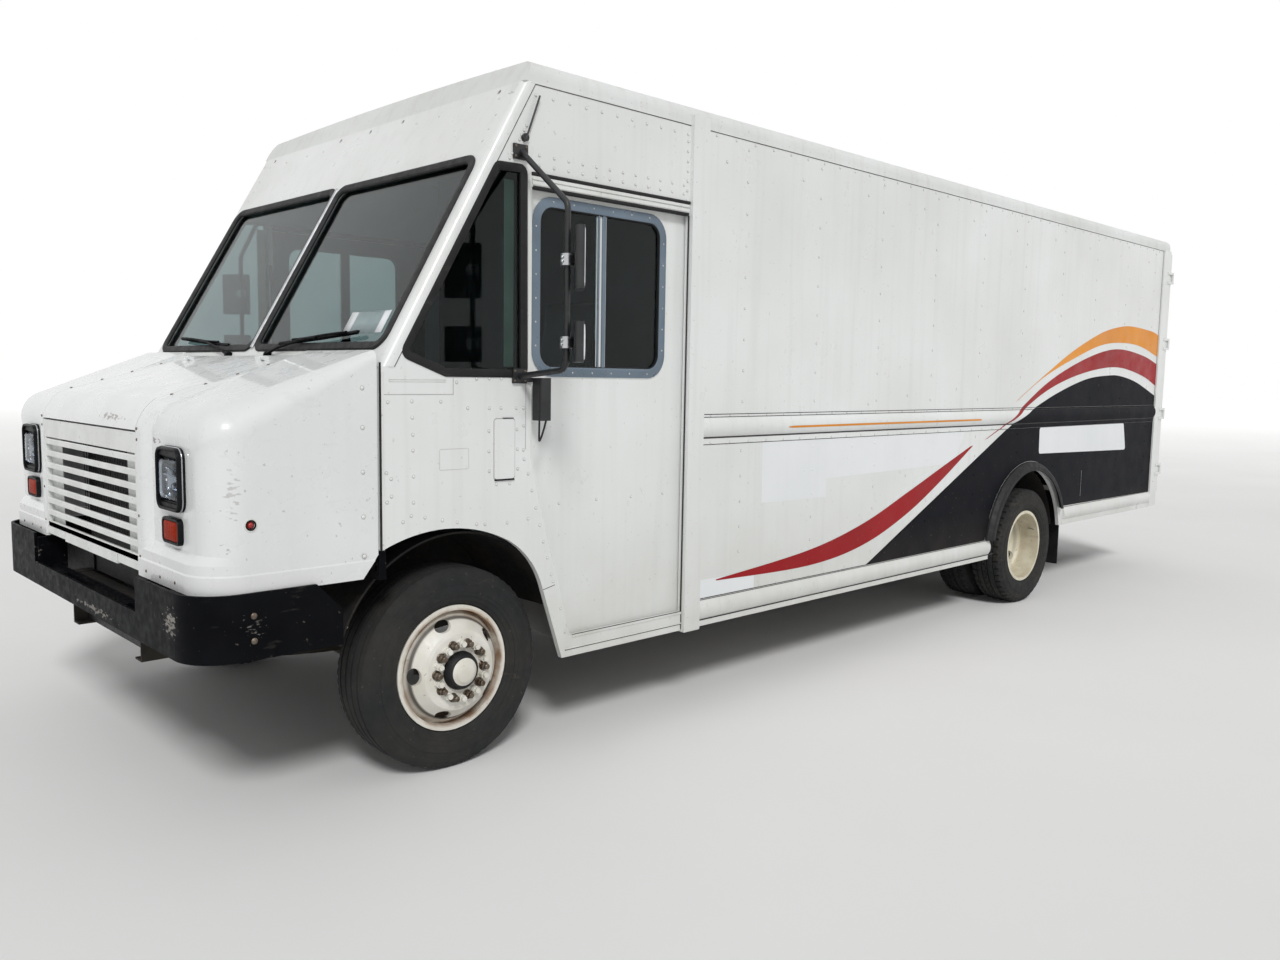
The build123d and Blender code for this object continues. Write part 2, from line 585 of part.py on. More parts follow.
with BuildPart() as nose_shell:
    add(fender_outer.part)
    add(centre_outer.part)
    add(skirt_outer.part)
    add(fender_inner.part, mode=Mode.SUBTRACT)
    add(centre_inner.part, mode=Mode.SUBTRACT)
    add(skirt_inner.part, mode=Mode.SUBTRACT)
    with BuildSketch(Plane.XY.offset(LID_LIP_Z - 8)):
        with BuildLine():
            Polyline((-LID_FRONT_HALF - LID_GAP, NOSE_FRONT - 20),
                     (LID_FRONT_HALF + LID_GAP, NOSE_FRONT - 20),
                     (LID_REAR_HALF + LID_GAP, LID_REAR + LID_GAP),
                     (-LID_REAR_HALF - LID_GAP, LID_REAR + LID_GAP), close=True)
        make_face()
    extrude(amount=600, mode=Mode.SUBTRACT)
    block(-GRILLE_HALF, GRILLE_HALF, NOSE_FRONT - 20, NOSE_FRONT + 150, NOSE_BOTTOM - 60, GRILLE_TOP + 10,
          Mode.SUBTRACT)
    lamp_prism(HEADLAMP, LAMP_FACE - 60, LAMP_FACE + 120, CLOSE_GAP, Mode.SUBTRACT)
    lamp_prism(TURN_LAMP, LAMP_FACE - 60, LAMP_FACE + 120, CLOSE_GAP, Mode.SUBTRACT)
    for side in (1, -1):
        rod((side * (HALF - 60), MARKER_Y, MARKER_Z), (side * (HALF + 10), MARKER_Y, MARKER_Z),
            MARKER_RADIUS + CLOSE_GAP, Mode.SUBTRACT)
    side_prism([(NOSE_REAR + 1, NOSE_BOTTOM - 30), (NOSE_REAR + 1, 943), (FRONT + 625, NOSE_BOTTOM),
                (FRONT + 625, NOSE_BOTTOM - 30)], -HALF - 10, HALF + 10, Mode.SUBTRACT)

    block(-HALF + 26, HALF - 26, NOSE_REAR - 30, CAB_FRONT, 1596, 1632)
    both_blocks(HALF - 70, HALF - 19, NOSE_REAR - 30, CAB_FRONT, 960, 1632)
    for x in (-HOOD_HINGE_X, HOOD_HINGE_X):
        rod((x - 25, HOOD_HINGE_Y, HOOD_HINGE_Z), (x + 25, HOOD_HINGE_Y, HOOD_HINGE_Z), 5)
        for x0 in (x - 25, x + 10):
            rod((x0, HOOD_HINGE_Y, HOOD_HINGE_Z), (x0 + 15, HOOD_HINGE_Y, HOOD_HINGE_Z), 9)
            block(x0, x0 + 15, HOOD_HINGE_Y + 3, HOOD_HINGE_Y + 22,
                  HOOD_HINGE_Z - 20, HOOD_HINGE_Z + 6)

# Hood lid, the skin of the centre section between its seams
with BuildPart() as hood_lid:
    with BuildSketch(Plane.YZ.offset(-LID_FRONT_HALF)):
        with BuildLine():
            l1 = ThreePointArc((NOSE_FRONT, LID_LIP_Z), (NOSE_FRONT + BROW_BACK, HOOD_TURN_Z - BROW_DROP),
                               (HOOD_TURN_Y, HOOD_TURN_Z))
            l2 = Line(l1 @ 1, (LID_REAR, hood_z(LID_REAR)))
            l3 = Line(l2 @ 1, (LID_REAR, hood_z(LID_REAR) - LID_WALL))
            l4 = Line(l3 @ 1, (HOOD_TURN_Y + 5, HOOD_TURN_Z - LID_WALL))
            l5 = ThreePointArc(l4 @ 1, (NOSE_FRONT + BROW_BACK + 12, HOOD_TURN_Z - BROW_DROP - 11),
                               (NOSE_FRONT + LID_WALL, LID_LIP_Z))
            Line(l5 @ 1, l1 @ 0)
        make_face()
    extrude(amount=2 * LID_FRONT_HALF)
    with BuildSketch(Plane.XY.offset(LID_LIP_Z - 50)):
        with BuildLine():
            Polyline((-LID_FRONT_HALF, NOSE_FRONT - 20), (LID_FRONT_HALF, NOSE_FRONT - 20),
                     (LID_REAR_HALF, LID_REAR), (-LID_REAR_HALF, LID_REAR), close=True)
        make_face()
    extrude(amount=600, mode=Mode.INTERSECT)
    for x in (-HOOD_HINGE_X, HOOD_HINGE_X):
        rod((x - 9, HOOD_HINGE_Y, HOOD_HINGE_Z), (x + 9, HOOD_HINGE_Y, HOOD_HINGE_Z), 9)
        block(x - 9, x + 9, HOOD_HINGE_Y - 22, HOOD_HINGE_Y - 3, HOOD_HINGE_Z - 24, HOOD_HINGE_Z + 6)
        rod((x - 12, HOOD_HINGE_Y, HOOD_HINGE_Z), (x + 12, HOOD_HINGE_Y, HOOD_HINGE_Z), 5 + CLOSE_GAP,
            Mode.SUBTRACT)

# Grille: header, upright ends, eight slanted slats and a notched sill
SLAT_COUNT = 8
SLAT_TOP = 1300
SLAT_PITCH = 53
SLAT_DEPTH = 34
END_PLATE_X = 420
GRILLE_FACE = NOSE_FRONT + 3
with BuildPart() as grille:
    half = GRILLE_HALF - CLOSE_GAP
    block(-half, half, GRILLE_FACE, GRILLE_FACE + 26, SLAT_TOP + 8, GRILLE_TOP)
    both_blocks(half - 26, half, GRILLE_FACE, GRILLE_FACE + 26, GRILLE_BOTTOM + 40, GRILLE_TOP)
    block(-half, half, GRILLE_FACE, GRILLE_FACE + 14, GRILLE_BOTTOM + 30, GRILLE_BOTTOM + 66)
    block(-338, 338, GRILLE_FACE, GRILLE_FACE + 14, GRILLE_BOTTOM, GRILLE_BOTTOM + 40)
    both_blocks(350, half, GRILLE_FACE, GRILLE_FACE + 14, GRILLE_BOTTOM + 8, GRILLE_BOTTOM + 40)
    both_blocks(END_PLATE_X, half - 1, GRILLE_FACE + 24, GRILLE_FACE + 27, GRILLE_BOTTOM + 50, GRILLE_TOP - 20)
    for i in range(SLAT_COUNT):
        z = SLAT_TOP - 30 - i * SLAT_PITCH
        side_prism([(GRILLE_FACE, z - 2), (GRILLE_FACE, z + 30), (GRILLE_FACE + 6, z + 33),
                    (GRILLE_FACE + SLAT_DEPTH, z + 20), (GRILLE_FACE + SLAT_DEPTH, z + 15),
                    (GRILLE_FACE + 8, z + 24)], -half + 1, half - 1)

# Headlamps: a bezel standing proud of the nose, with the lens set back inside it
BEZEL = 16
BEZEL_STAND = 9
with BuildPart() as headlamps:
    lamp_prism(HEADLAMP, LAMP_FACE - BEZEL_STAND, LAMP_FACE + LAMP_DEPTH)
    chamfer(headlamps.faces().filter_by(Axis.Y).group_by(Axis.Y)[0].edges(), 5)
    lamp_prism(HEADLAMP, LAMP_FACE - 20, LAMP_FACE + 6, -BEZEL, Mode.SUBTRACT)

# Turn lamps, side markers and tail lamps
TAIL_LAMP = (1138, 596, 72, 92)
REAR_POST_STAND = 14
with BuildPart() as signal_lamps:
    lamp_prism(TURN_LAMP, LAMP_FACE - 3, LAMP_FACE + 40)
    lamp_prism(TAIL_LAMP, BODY_REAR, BODY_REAR + 24)
    for side in (1, -1):
        rod((side * (HALF + 5), MARKER_Y, MARKER_Z), (side * (HALF - 30), MARKER_Y, MARKER_Z), MARKER_RADIUS)

# Cab front: firewall, cowl, windscreen surround with its pillars, and the header above
PANE_INNER = 22
PANE_OUTER = 1114
PANE_LOW = 92
PANE_HIGH = 952
PANE_CORNER = 55
PILLAR_RADIUS = 33
PILLAR_STAND = 3
CAP_HOLES = (-1035, -293, 0, 293, 1035)
CAP_HOLE_RADIUS = 11
CAP_HOLE_V = (WALL_TOP - 24 - RAKE_FOOT_Z) / RAKE_ANGLE_COS
FIREWALL_BOTTOM = 840
TUNNEL_HALF = 352
TUNNEL_TOP = 1200
COVER_WALL = 12
screen_plane = Plane(origin=(0, RAKE_FOOT_Y, RAKE_FOOT_Z), x_dir=(1, 0, 0),
                     z_dir=(0, -RAKE_ANGLE_COS, RAKE_ANGLE_SIN))


def pane_faces(slack):
    """Both windscreen panes, drawn in by the slack."""
    width = PANE_OUTER - PANE_INNER - 2 * slack
    height = PANE_HIGH - PANE_LOW - 2 * slack
    with BuildSketch(screen_plane) as panes:
        for side in (1, -1):
            with Locations((side * (PANE_OUTER + PANE_INNER) / 2, (PANE_HIGH + PANE_LOW) / 2)):
                RectangleRounded(width, height, PANE_CORNER - slack)
    return panes


opening_faces = pane_faces(0)
with BuildPart() as cab_front:
    side_prism([(rake_y(RAKE_FOOT_Z), RAKE_FOOT_Z), (rake_y(WALL_TOP), WALL_TOP),
                (rake_y(WALL_TOP) + RAKE_DEPTH, WALL_TOP), (rake_y(RAKE_FOOT_Z) + RAKE_DEPTH, RAKE_FOOT_Z)],
               -HALF - PILLAR_STAND, HALF + PILLAR_STAND)
    raked = [e for e in cab_front.edges() if abs(e.tangent_at(0.5).Z) > 0.5 and abs(e.tangent_at(0.5).Y) > 0.2]
    fillet(sorted(raked, key=lambda e: e.center().Y)[:2], PILLAR_RADIUS)
    block(-SIDE_INNER, SIDE_INNER, CAB_FRONT, CAB_FRONT + 30, FIREWALL_BOTTOM, RAKE_FOOT_Z)
    block(-TUNNEL_HALF, TUNNEL_HALF, CAB_FRONT - 5, CAB_FRONT + 35, FIREWALL_BOTTOM - 5, TUNNEL_TOP,
          Mode.SUBTRACT)
    extrude(opening_faces.sketch, amount=200, both=True, mode=Mode.SUBTRACT)
    for x in CAP_HOLES:
        rod(tuple(screen_plane.from_local_coords(Vector(x, CAP_HOLE_V, 5))),
            tuple(screen_plane.from_local_coords(Vector(x, CAP_HOLE_V, -14))), CAP_HOLE_RADIUS, Mode.SUBTRACT)

# Side windows of the cab: outlines as (station, height)
QUARTER = [(rake_y(1691) + 67, 1691), (rake_y(2441) + 67, 2441), (FRONT + 1363, 2446),
           (FRONT + 1368, 1621), (FRONT + 989, 1621)]
GLASS_WALL = 6
HEAD_Z = 2380
TRACK_Z = 2405
quarter_slack = CLOSE_GAP

with BuildPart() as cab_side:
    with BuildSketch(Plane.YZ.offset(SIDE_INNER)):
        with BuildLine():
            l1 = Polyline((CAB_FRONT, 954), (CAB_FRONT, RAKE_FOOT_Z), (CAB_FRONT + RAKE_DEPTH, RAKE_FOOT_Z),
                          (rake_y(WALL_TOP) + RAKE_DEPTH, WALL_TOP), (POST_FRONT, WALL_TOP),
                          (POST_FRONT, HEAD_Z), (DOOR_FRONT, HEAD_Z), (DOOR_FRONT, 1540), (FRONT + 1412, 1272),
                          (FRONT + 1476, 1024), (FRONT + 1541, 809), (FRONT + 1629, 478), (POST_FRONT, 478),
                          (POST_FRONT, SKIRT_BOTTOM), (FRONT + 1583, SKIRT_BOTTOM), (FRONT + 1472, 712))
            l2 = ThreePointArc((FRONT + 1472, 712), (FRONT + 1400, 845), (FRONT + 1295, 934))
            ThreePointArc(l2 @ 1, (FRONT + 1000, 1012), (CAB_FRONT, 954))
        make_face()
    extrude(amount=SIDE_WALL)
    side_prism(QUARTER, SIDE_INNER - 1, HALF + 1, Mode.SUBTRACT)
    block(1126, SIDE_INNER, FRONT + 1380, FRONT + 3300, TRACK_Z, TRACK_Z + 25)

cab_side_right = mirrored(cab_side)

# Access door on the left cab side: (first station, last station, low, high)
ACCESS = (FRONT + 1218, FRONT + 1318, 1193, 1437)
ACCESS_STAND = 4
with BuildPart() as cab_side_left:
    add(cab_side.part)
    y0, y1, z0, z1 = ACCESS
    with BuildSketch(Plane.YZ.offset(HALF - 1)):
        with Locations(((y0 + y1) / 2, (z0 + z1) / 2)):
            RectangleRounded(y1 - y0, z1 - z0, 12)
    extrude(amount=ACCESS_STAND + 1)

# Windscreen panes and quarter windows
pane_sketch = pane_faces(CLOSE_GAP)
with BuildPart() as cab_glass:
    extrude(pane_sketch.sketch, amount=-20)
    extrude(pane_sketch.sketch, amount=-14, mode=Mode.SUBTRACT)
    for x0 in (SIDE_INNER + 8, -SIDE_INNER - 8 - GLASS_WALL):
        with BuildSketch(Plane.YZ.offset(x0)):
            with BuildLine():
                Polyline(*QUARTER, close=True)
            make_face()
            offset(amount=-quarter_slack)
        extrude(amount=GLASS_WALL)

# Sliding cab door, hung inside the side wall
DOOR_OUTER = SIDE_INNER - DOOR_GAP
DOOR_WALL = 28
FRAME_STAND = 3
DOOR_TOP = 2398
DOOR_EDGE = 24
WINDOW = (FRONT + 1467, FRONT + 2180, 1648, 2320)
WINDOW_FRAME = 38

with BuildPart() as cab_door_left:
    inner_x = DOOR_OUTER - DOOR_WALL
    side_prism([(DOOR_FRONT - DOOR_EDGE, DOOR_TOP), (DOOR_FRONT - DOOR_EDGE, 1540),
                (FRONT + 1412 - DOOR_EDGE, 1272), (FRONT + 1476 - DOOR_EDGE, 1024),
                (FRONT + 1541 - DOOR_EDGE, 809), (FRONT + 1629 - DOOR_EDGE, 470),
                (POST_FRONT + DOOR_EDGE, 470), (POST_FRONT + DOOR_EDGE, DOOR_TOP)],
               inner_x, DOOR_OUTER - FRAME_STAND)
    for y in (FRONT + 1480, FRONT + 2260):
        block(inner_x + 2, DOOR_OUTER - 8, y - 20, y + 20, DOOR_TOP - 10, TRACK_Z - CLOSE_GAP)
    y0, y1, z0, z1 = WINDOW
    with BuildSketch(Plane.YZ.offset(inner_x)):
        with Locations(((y0 + y1) / 2, (z0 + z1) / 2)):
            RectangleRounded(y1 - y0 + 2 * WINDOW_FRAME, z1 - z0 + 2 * WINDOW_FRAME, 70 + WINDOW_FRAME)
    extrude(amount=DOOR_WALL)
    with BuildSketch(Plane.YZ.offset(inner_x)):
        with Locations(((y0 + y1) / 2, (z0 + z1) / 2)):
            RectangleRounded(y1 - y0, z1 - z0, 70)
    extrude(amount=DOOR_WALL, mode=Mode.SUBTRACT)
    block(inner_x, DOOR_OUTER - 6, FRONT + 1794, FRONT + 1848, z0 - 5, z1 + 5)

cab_door_right = mirrored(cab_door_left)

with BuildPart() as door_glass_left:
    y0, y1, z0, z1 = WINDOW
    with BuildSketch(Plane.YZ.offset(DOOR_OUTER - 16)):
        with Locations(((y0 + y1) / 2, (z0 + z1) / 2)):
            RectangleRounded(y1 - y0 - 2 * CLOSE_GAP, z1 - z0 - 2 * CLOSE_GAP, 70 - CLOSE_GAP)
        with Locations((FRONT + 1821, (z0 + z1) / 2)):
            Rectangle(54 + 2 * CLOSE_GAP, 2000, mode=Mode.SUBTRACT)
    extrude(amount=GLASS_WALL)

door_glass_right = mirrored(door_glass_left)

# Rub rails along the body: (first station, last station, bulge low, bulge high, flange low, flange high)
FLARE_OUTER = 625
FLARE_INNER = 560
ARCH_RADIUS = 572
FLARE_STAND = 45
SKIRT_RAIL_END = REAR_AXLE - 495
RAILS = [
    (POST_REAR, REAR_POST_FRONT, 1327, 1423, 1292, 1436),
    (POST_REAR, SKIRT_RAIL_END, 419, 515, SKIRT_BOTTOM, 520),
    (REAR_AXLE + 612, REAR_POST_FRONT, 560, 652, REAR_SKIRT_BOTTOM, 658),
]
RAIL_STAND = 22
RAIL_FLANGE_STAND = 4

with BuildPart() as cargo_side_left:
    side_prism([(POST_REAR, SKIRT_BOTTOM), (POST_REAR, WALL_TOP), (REAR_POST_FRONT, WALL_TOP),
                (REAR_POST_FRONT, REAR_SKIRT_BOTTOM), (REAR_AXLE, REAR_SKIRT_BOTTOM),
                (REAR_AXLE, SKIRT_BOTTOM)],
               SIDE_INNER, HALF)
    block(SIDE_INNER, HALF + POST_STAND, POST_FRONT, POST_REAR, SKIRT_BOTTOM - 8, WALL_TOP)
    block(HALF, HALF + POST_STAND, POST_FRONT, POST_REAR, WALL_TOP - 5, WALL_TOP + 40)
    for y0, y1, low, high, flange_low, flange_high in RAILS:
        with BuildSketch(Plane(origin=(0, y0, 0), x_dir=(1, 0, 0), z_dir=(0, -1, 0))):
            with BuildLine():
                l1 = Polyline((HALF - 2, flange_low), (HALF + RAIL_FLANGE_STAND, flange_low),
                              (HALF + RAIL_FLANGE_STAND, low))
                l2 = ThreePointArc(l1 @ 1, (HALF + RAIL_STAND, (low + high) / 2),
                                   (HALF + RAIL_FLANGE_STAND, high))
                Polyline(l2 @ 1, (HALF + RAIL_FLANGE_STAND, flange_high), (HALF - 2, flange_high), l1 @ 0)
            make_face()
        extrude(amount=-(y1 - y0))
    with BuildSketch(Plane(origin=(SIDE_INNER - 5, REAR_AXLE, TYRE_RADIUS), z_dir=(1, 0, 0))):
        Circle(ARCH_RADIUS)
    extrude(amount=SIDE_WALL + 60, mode=Mode.SUBTRACT)

cargo_side_right = mirrored(cargo_side_left)

# Rubber flares round the rear wheels, down to the skirt rails
with BuildPart() as wheel_flares:
    turn([(HALF + CLOSE_GAP, FLARE_OUTER), (HALF + 14, FLARE_OUTER - 2), (HALF + 38, 603),
          (HALF + FLARE_STAND, 588), (HALF + FLARE_STAND, FLARE_INNER), (HALF + 37, FLARE_INNER),
          (HALF + 37, 583), (HALF + 10, 612), (HALF + CLOSE_GAP, 613)], REAR_AXLE)
    block(0, WIDTH, REAR_AXLE - 700, REAR_AXLE + 700, -300, 520 + CLOSE_GAP, Mode.SUBTRACT)
    block(0, WIDTH, REAR_AXLE, REAR_AXLE + 700, 0, 658 + CLOSE_GAP, Mode.SUBTRACT)
    mirror(about=Plane.YZ)

# Roof: rounded side rails and a crowned panel, cut off along the windscreen's plane
RAIL_DROP = 64
ROOF_EDGE = ROOF_HEIGHT - 19
ROOF_WALL = 36
ROOF_RAIL = 46

with BuildPart() as roof:
    corner = RAIL_DROP * (1 - sqrt(0.5))
    with BuildSketch(Plane(origin=(0, rake_y(WALL_TOP), 0), x_dir=(1, 0, 0), z_dir=(0, -1, 0))):
        with BuildLine():
            l1 = Line((-HALF, WALL_TOP), (-HALF, ROOF_EDGE - RAIL_DROP))
            l2 = ThreePointArc(l1 @ 1, (-HALF + corner, ROOF_EDGE - corner), (-HALF + RAIL_DROP, ROOF_EDGE))
            l3 = ThreePointArc(l2 @ 1, (0, ROOF_HEIGHT), (HALF - RAIL_DROP, ROOF_EDGE))
            l4 = ThreePointArc(l3 @ 1, (HALF - corner, ROOF_EDGE - corner), (HALF, ROOF_EDGE - RAIL_DROP))
            l5 = Polyline(l4 @ 1, (HALF, WALL_TOP), (HALF - ROOF_RAIL, WALL_TOP),
                          (HALF - ROOF_RAIL, ROOF_EDGE - ROOF_WALL))
            l6 = ThreePointArc(l5 @ 1, (0, ROOF_HEIGHT - ROOF_WALL), (-HALF + ROOF_RAIL, ROOF_EDGE - ROOF_WALL))
            Polyline(l6 @ 1, (-HALF + ROOF_RAIL, WALL_TOP), (-HALF, WALL_TOP))
        make_face()
    extrude(amount=-(BODY_REAR - rake_y(WALL_TOP)))
    for y0, y1 in ((rake_y(WALL_TOP), rake_y(WALL_TOP) + 90), (BODY_REAR - 30, BODY_REAR)):
        block(-HALF + ROOF_RAIL - 1, HALF - ROOF_RAIL + 1, y0, y1, WALL_TOP, ROOF_EDGE - 11)
    side_prism([(rake_y(WALL_TOP) - 50, WALL_TOP - 1), (rake_y(WALL_TOP) - 0.5, WALL_TOP - 1),
                (rake_y(ROOF_HEIGHT + 20), ROOF_HEIGHT + 20), (rake_y(WALL_TOP) - 50, ROOF_HEIGHT + 20)],
               -HALF - 5, HALF + 5, Mode.SUBTRACT)

# Rear portal round the doors
REAR_POST_INNER = 1085
DOOR_SILL_Z = FLOOR_TOP
HEADER_Z = WALL_TOP - 92
REAR_DOOR_BOTTOM = 660
REAR_DOOR_TOP = WALL_TOP - 22
HINGE_HEIGHTS = (REAR_DOOR_BOTTOM + 200, REAR_DOOR_BOTTOM + 700, REAR_DOOR_TOP - 790, REAR_DOOR_TOP - 210)
HINGE_X = HALF + REAR_POST_STAND + 9
HINGE_Y = BODY_REAR + 40
with BuildPart() as rear_frame:
    both_blocks(REAR_POST_INNER, HALF + REAR_POST_STAND, REAR_POST_FRONT, BODY_REAR, 530, WALL_TOP)
    block(-REAR_POST_INNER, REAR_POST_INNER, REAR_POST_FRONT + 60, BODY_REAR, HEADER_Z, WALL_TOP)
    block(-REAR_POST_INNER, REAR_POST_INNER, REAR_POST_FRONT + 60, BODY_REAR, 640, DOOR_SILL_Z)
    for z in HINGE_HEIGHTS:
        for side in (1, -1):
            rod((side * HINGE_X, HINGE_Y, z - 50), (side * HINGE_X, HINGE_Y, z + 50), 5)
            for z0 in (z - 50, z + 31):
                rod((side * HINGE_X, HINGE_Y, z0), (side * HINGE_X, HINGE_Y, z0 + 19), 9)
                x0 = min(side * (HALF + REAR_POST_STAND), side * HINGE_X)
                block(x0, x0 + 9, BODY_REAR - 60, HINGE_Y, z0, z0 + 19)

# Swing doors on the rear face
REAR_DOOR_WALL = 30
REAR_DOOR_FRONT = BODY_REAR + 7.5
MEETING_GAP = 4
LOCK_BAR_X = 78
LOCK_BAR_WIDTH = 26
LOCK_BAR_DEPTH = 9

with BuildPart() as rear_door_left:
    skin = REAR_DOOR_FRONT + REAR_DOOR_WALL
    block(MEETING_GAP, HINGE_X - 14, REAR_DOOR_FRONT, skin, REAR_DOOR_BOTTOM, REAR_DOOR_TOP)
    for z in HINGE_HEIGHTS:
        rod((HINGE_X, HINGE_Y, z - 30), (HINGE_X, HINGE_Y, z + 30), 9)
        block(HALF - 160, HINGE_X, HINGE_Y - 5, HINGE_Y + 5, z - 30, z + 30)
        rod((HINGE_X, HINGE_Y, z - 31), (HINGE_X, HINGE_Y, z + 31), 5 + CLOSE_GAP, Mode.SUBTRACT)
    block(LOCK_BAR_X, LOCK_BAR_X + LOCK_BAR_WIDTH, skin - 1, skin + LOCK_BAR_DEPTH,
          REAR_DOOR_BOTTOM + 20, REAR_DOOR_TOP - 20)
    for z in (REAR_DOOR_BOTTOM + 120, 1300, 1900, REAR_DOOR_TOP - 120):
        block(LOCK_BAR_X - 18, LOCK_BAR_X + LOCK_BAR_WIDTH + 18, skin - 1, skin + 5, z - 20, z + 20)
    block(LOCK_BAR_X + 2, LOCK_BAR_X + 190, skin - 1, skin + LOCK_BAR_DEPTH + 2, 1180, 1206)

rear_door_right = mirrored(rear_door_left)

# Floor on its bearers, in two plates with the bulkhead between them
BEARER_TOP = FLOOR_BOTTOM
BEARER_STATIONS = [FRONT + s for s in (2600, 3200, 3800, 4400, 5000, 7000, 7600, 8200)]
BEARER_HALF = 1110
FLOOR_HALF = 1120
POCKET_END = FRONT + 3310
BULKHEAD_FRONT = POST_REAR + 10
BULKHEAD_REAR = POST_REAR + 40
STEP_FRONT = FRONT + 1650
STEP_X = 780
STEP_WALL = 8
STEP_BOTTOM = 440
HOUSE_INNER = 600
HOUSE_WALL = 8
# Wheel boxes: (station, height of the arch's centre, inner radius, lower edge)
HOUSES = [(FRONT_AXLE, 445, 530, 600), (REAR_AXLE, TYRE_RADIUS, ARCH_RADIUS, REAR_SKIRT_BOTTOM)]


def house_sector(y, centre_z, radius, low, x0, x1, mode=Mode.ADD):
    """The arched block over one wheel, down to its lower edge, on both sides."""
    half = sqrt(radius**2 - (low - centre_z) ** 2)
    for side in (1, -1):
        with BuildSketch(Plane.YZ.offset(min(side * x0, side * x1))) as arch:
            with BuildLine():
                l1 = ThreePointArc((y - half, low), (y, centre_z + radius), (y + half, low))
                Line(l1 @ 1, l1 @ 0)
            make_face()
        extrude(arch.sketch, amount=x1 - x0, mode=mode)


with BuildPart() as floor:
    block(-HOUSE_INNER, HOUSE_INNER, CAB_FRONT + 31, BULKHEAD_FRONT, FLOOR_BOTTOM, FLOOR_TOP)
    block(-STEP_X, STEP_X, STEP_FRONT, BULKHEAD_FRONT, FLOOR_BOTTOM, FLOOR_TOP)
    both_blocks(HOUSE_INNER - 1, FLOOR_HALF, FRONT_AXLE + 380, STEP_FRONT, FLOOR_BOTTOM, FLOOR_TOP)
    block(-FLOOR_HALF, FLOOR_HALF, POST_REAR, BULKHEAD_FRONT, FLOOR_BOTTOM, FLOOR_TOP)
    block(-FLOOR_HALF, FLOOR_HALF, BULKHEAD_REAR, POCKET_END, FLOOR_BOTTOM, FLOOR_TOP)
    block(-SIDE_INNER, SIDE_INNER, POCKET_END, REAR_POST_FRONT, FLOOR_BOTTOM, FLOOR_TOP)
    block(-REAR_POST_INNER, REAR_POST_INNER, POCKET_END, REAR_POST_FRONT + 60, FLOOR_BOTTOM, FLOOR_TOP)
    block(-TUNNEL_HALF, TUNNEL_HALF, CAB_FRONT, ENGINE_REAR + 30, FLOOR_BOTTOM - 5, FLOOR_TOP + 5,
          Mode.SUBTRACT)
    both_blocks(RAIL_INNER, RAIL_OUTER, CAB_FRONT + 31, REAR_POST_FRONT, RAIL_TOP, BEARER_TOP)
    for y in BEARER_STATIONS:
        block(-BEARER_HALF, BEARER_HALF, y - 25, y + 25, RAIL_TOP + 20, BEARER_TOP)
    for y, centre_z, radius, low in HOUSES:
        house_sector(y, centre_z, radius + HOUSE_WALL + CLOSE_GAP, low, HOUSE_INNER - CLOSE_GAP,
                     SIDE_INNER + 5, Mode.SUBTRACT)

# Arched boxes over the wheels, open underneath and outboard
with BuildPart() as wheel_houses:
    for y, centre_z, radius, low in HOUSES:
        house_sector(y, centre_z, radius + HOUSE_WALL, low, HOUSE_INNER, FLOOR_HALF)
        house_sector(y, centre_z, radius, low, HOUSE_INNER + HOUSE_WALL, FLOOR_HALF + 5, Mode.SUBTRACT)
    both_blocks(HOUSE_INNER - 5, FLOOR_HALF + 5, FRONT, CAB_FRONT + 31, FIREWALL_BOTTOM - CLOSE_GAP, 1100,
                Mode.SUBTRACT)

# Step wells inside the cab doors
with BuildPart() as step_wells:
    both_blocks(STEP_X - STEP_WALL, STEP_X, STEP_FRONT, POST_REAR, STEP_BOTTOM, FLOOR_BOTTOM)
    both_blocks(STEP_X, FLOOR_HALF, STEP_FRONT, POST_REAR, STEP_BOTTOM, STEP_BOTTOM + 20)
    for y0 in (STEP_FRONT, POST_REAR - STEP_WALL):
        both_blocks(STEP_X, FLOOR_HALF, y0, y0 + STEP_WALL, STEP_BOTTOM, FLOOR_TOP)

# Bulkhead between the cab and the load space
with BuildPart() as bulkhead:
    block(-BEARER_HALF, BEARER_HALF, BULKHEAD_FRONT, BULKHEAD_REAR, FLOOR_BOTTOM, ROOF_EDGE - ROOF_WALL - 40)

# Dashboard, engine cover, steering column and wheel
WHEEL_TILT = 38
STEERING_X = 450
with BuildPart() as dashboard:
    side_prism([(CAB_FRONT + 30, 1180), (CAB_FRONT + 30, 1600), (CAB_FRONT + 80, 1632),
                (CAB_FRONT + 300, 1600), (CAB_FRONT + 340, 1540), (CAB_FRONT + 300, 1330),
                (CAB_FRONT + 120, 1180)], -1120, 1120)
    cover = TUNNEL_HALF + COVER_WALL
    block(-cover, cover, CAB_FRONT + 30, ENGINE_REAR + 60, FLOOR_TOP, TUNNEL_TOP + COVER_WALL)
    block(-TUNNEL_HALF, TUNNEL_HALF, CAB_FRONT + 25, ENGINE_REAR + 60 - COVER_WALL, FLOOR_TOP - 5, TUNNEL_TOP,
          Mode.SUBTRACT)
    block(STEERING_X - 15, STEERING_X + 15, CAB_FRONT + 240, CAB_FRONT + 440, 1240, 1350)
    hub = Vector(STEERING_X, CAB_FRONT + 560, 1400)
    lean = Vector(0, sin(radians(WHEEL_TILT)), cos(radians(WHEEL_TILT)))
    rod(tuple(hub - lean * 690), tuple(hub + lean * 15), 26)
    with BuildSketch(Plane(origin=tuple(hub), x_dir=(1, 0, 0), z_dir=tuple(lean))):
        Circle(222)
        Circle(196, mode=Mode.SUBTRACT)
        Circle(62)
        with PolarLocations(120, 3, start_angle=90):
            Rectangle(170, 26)
    extrude(amount=22)

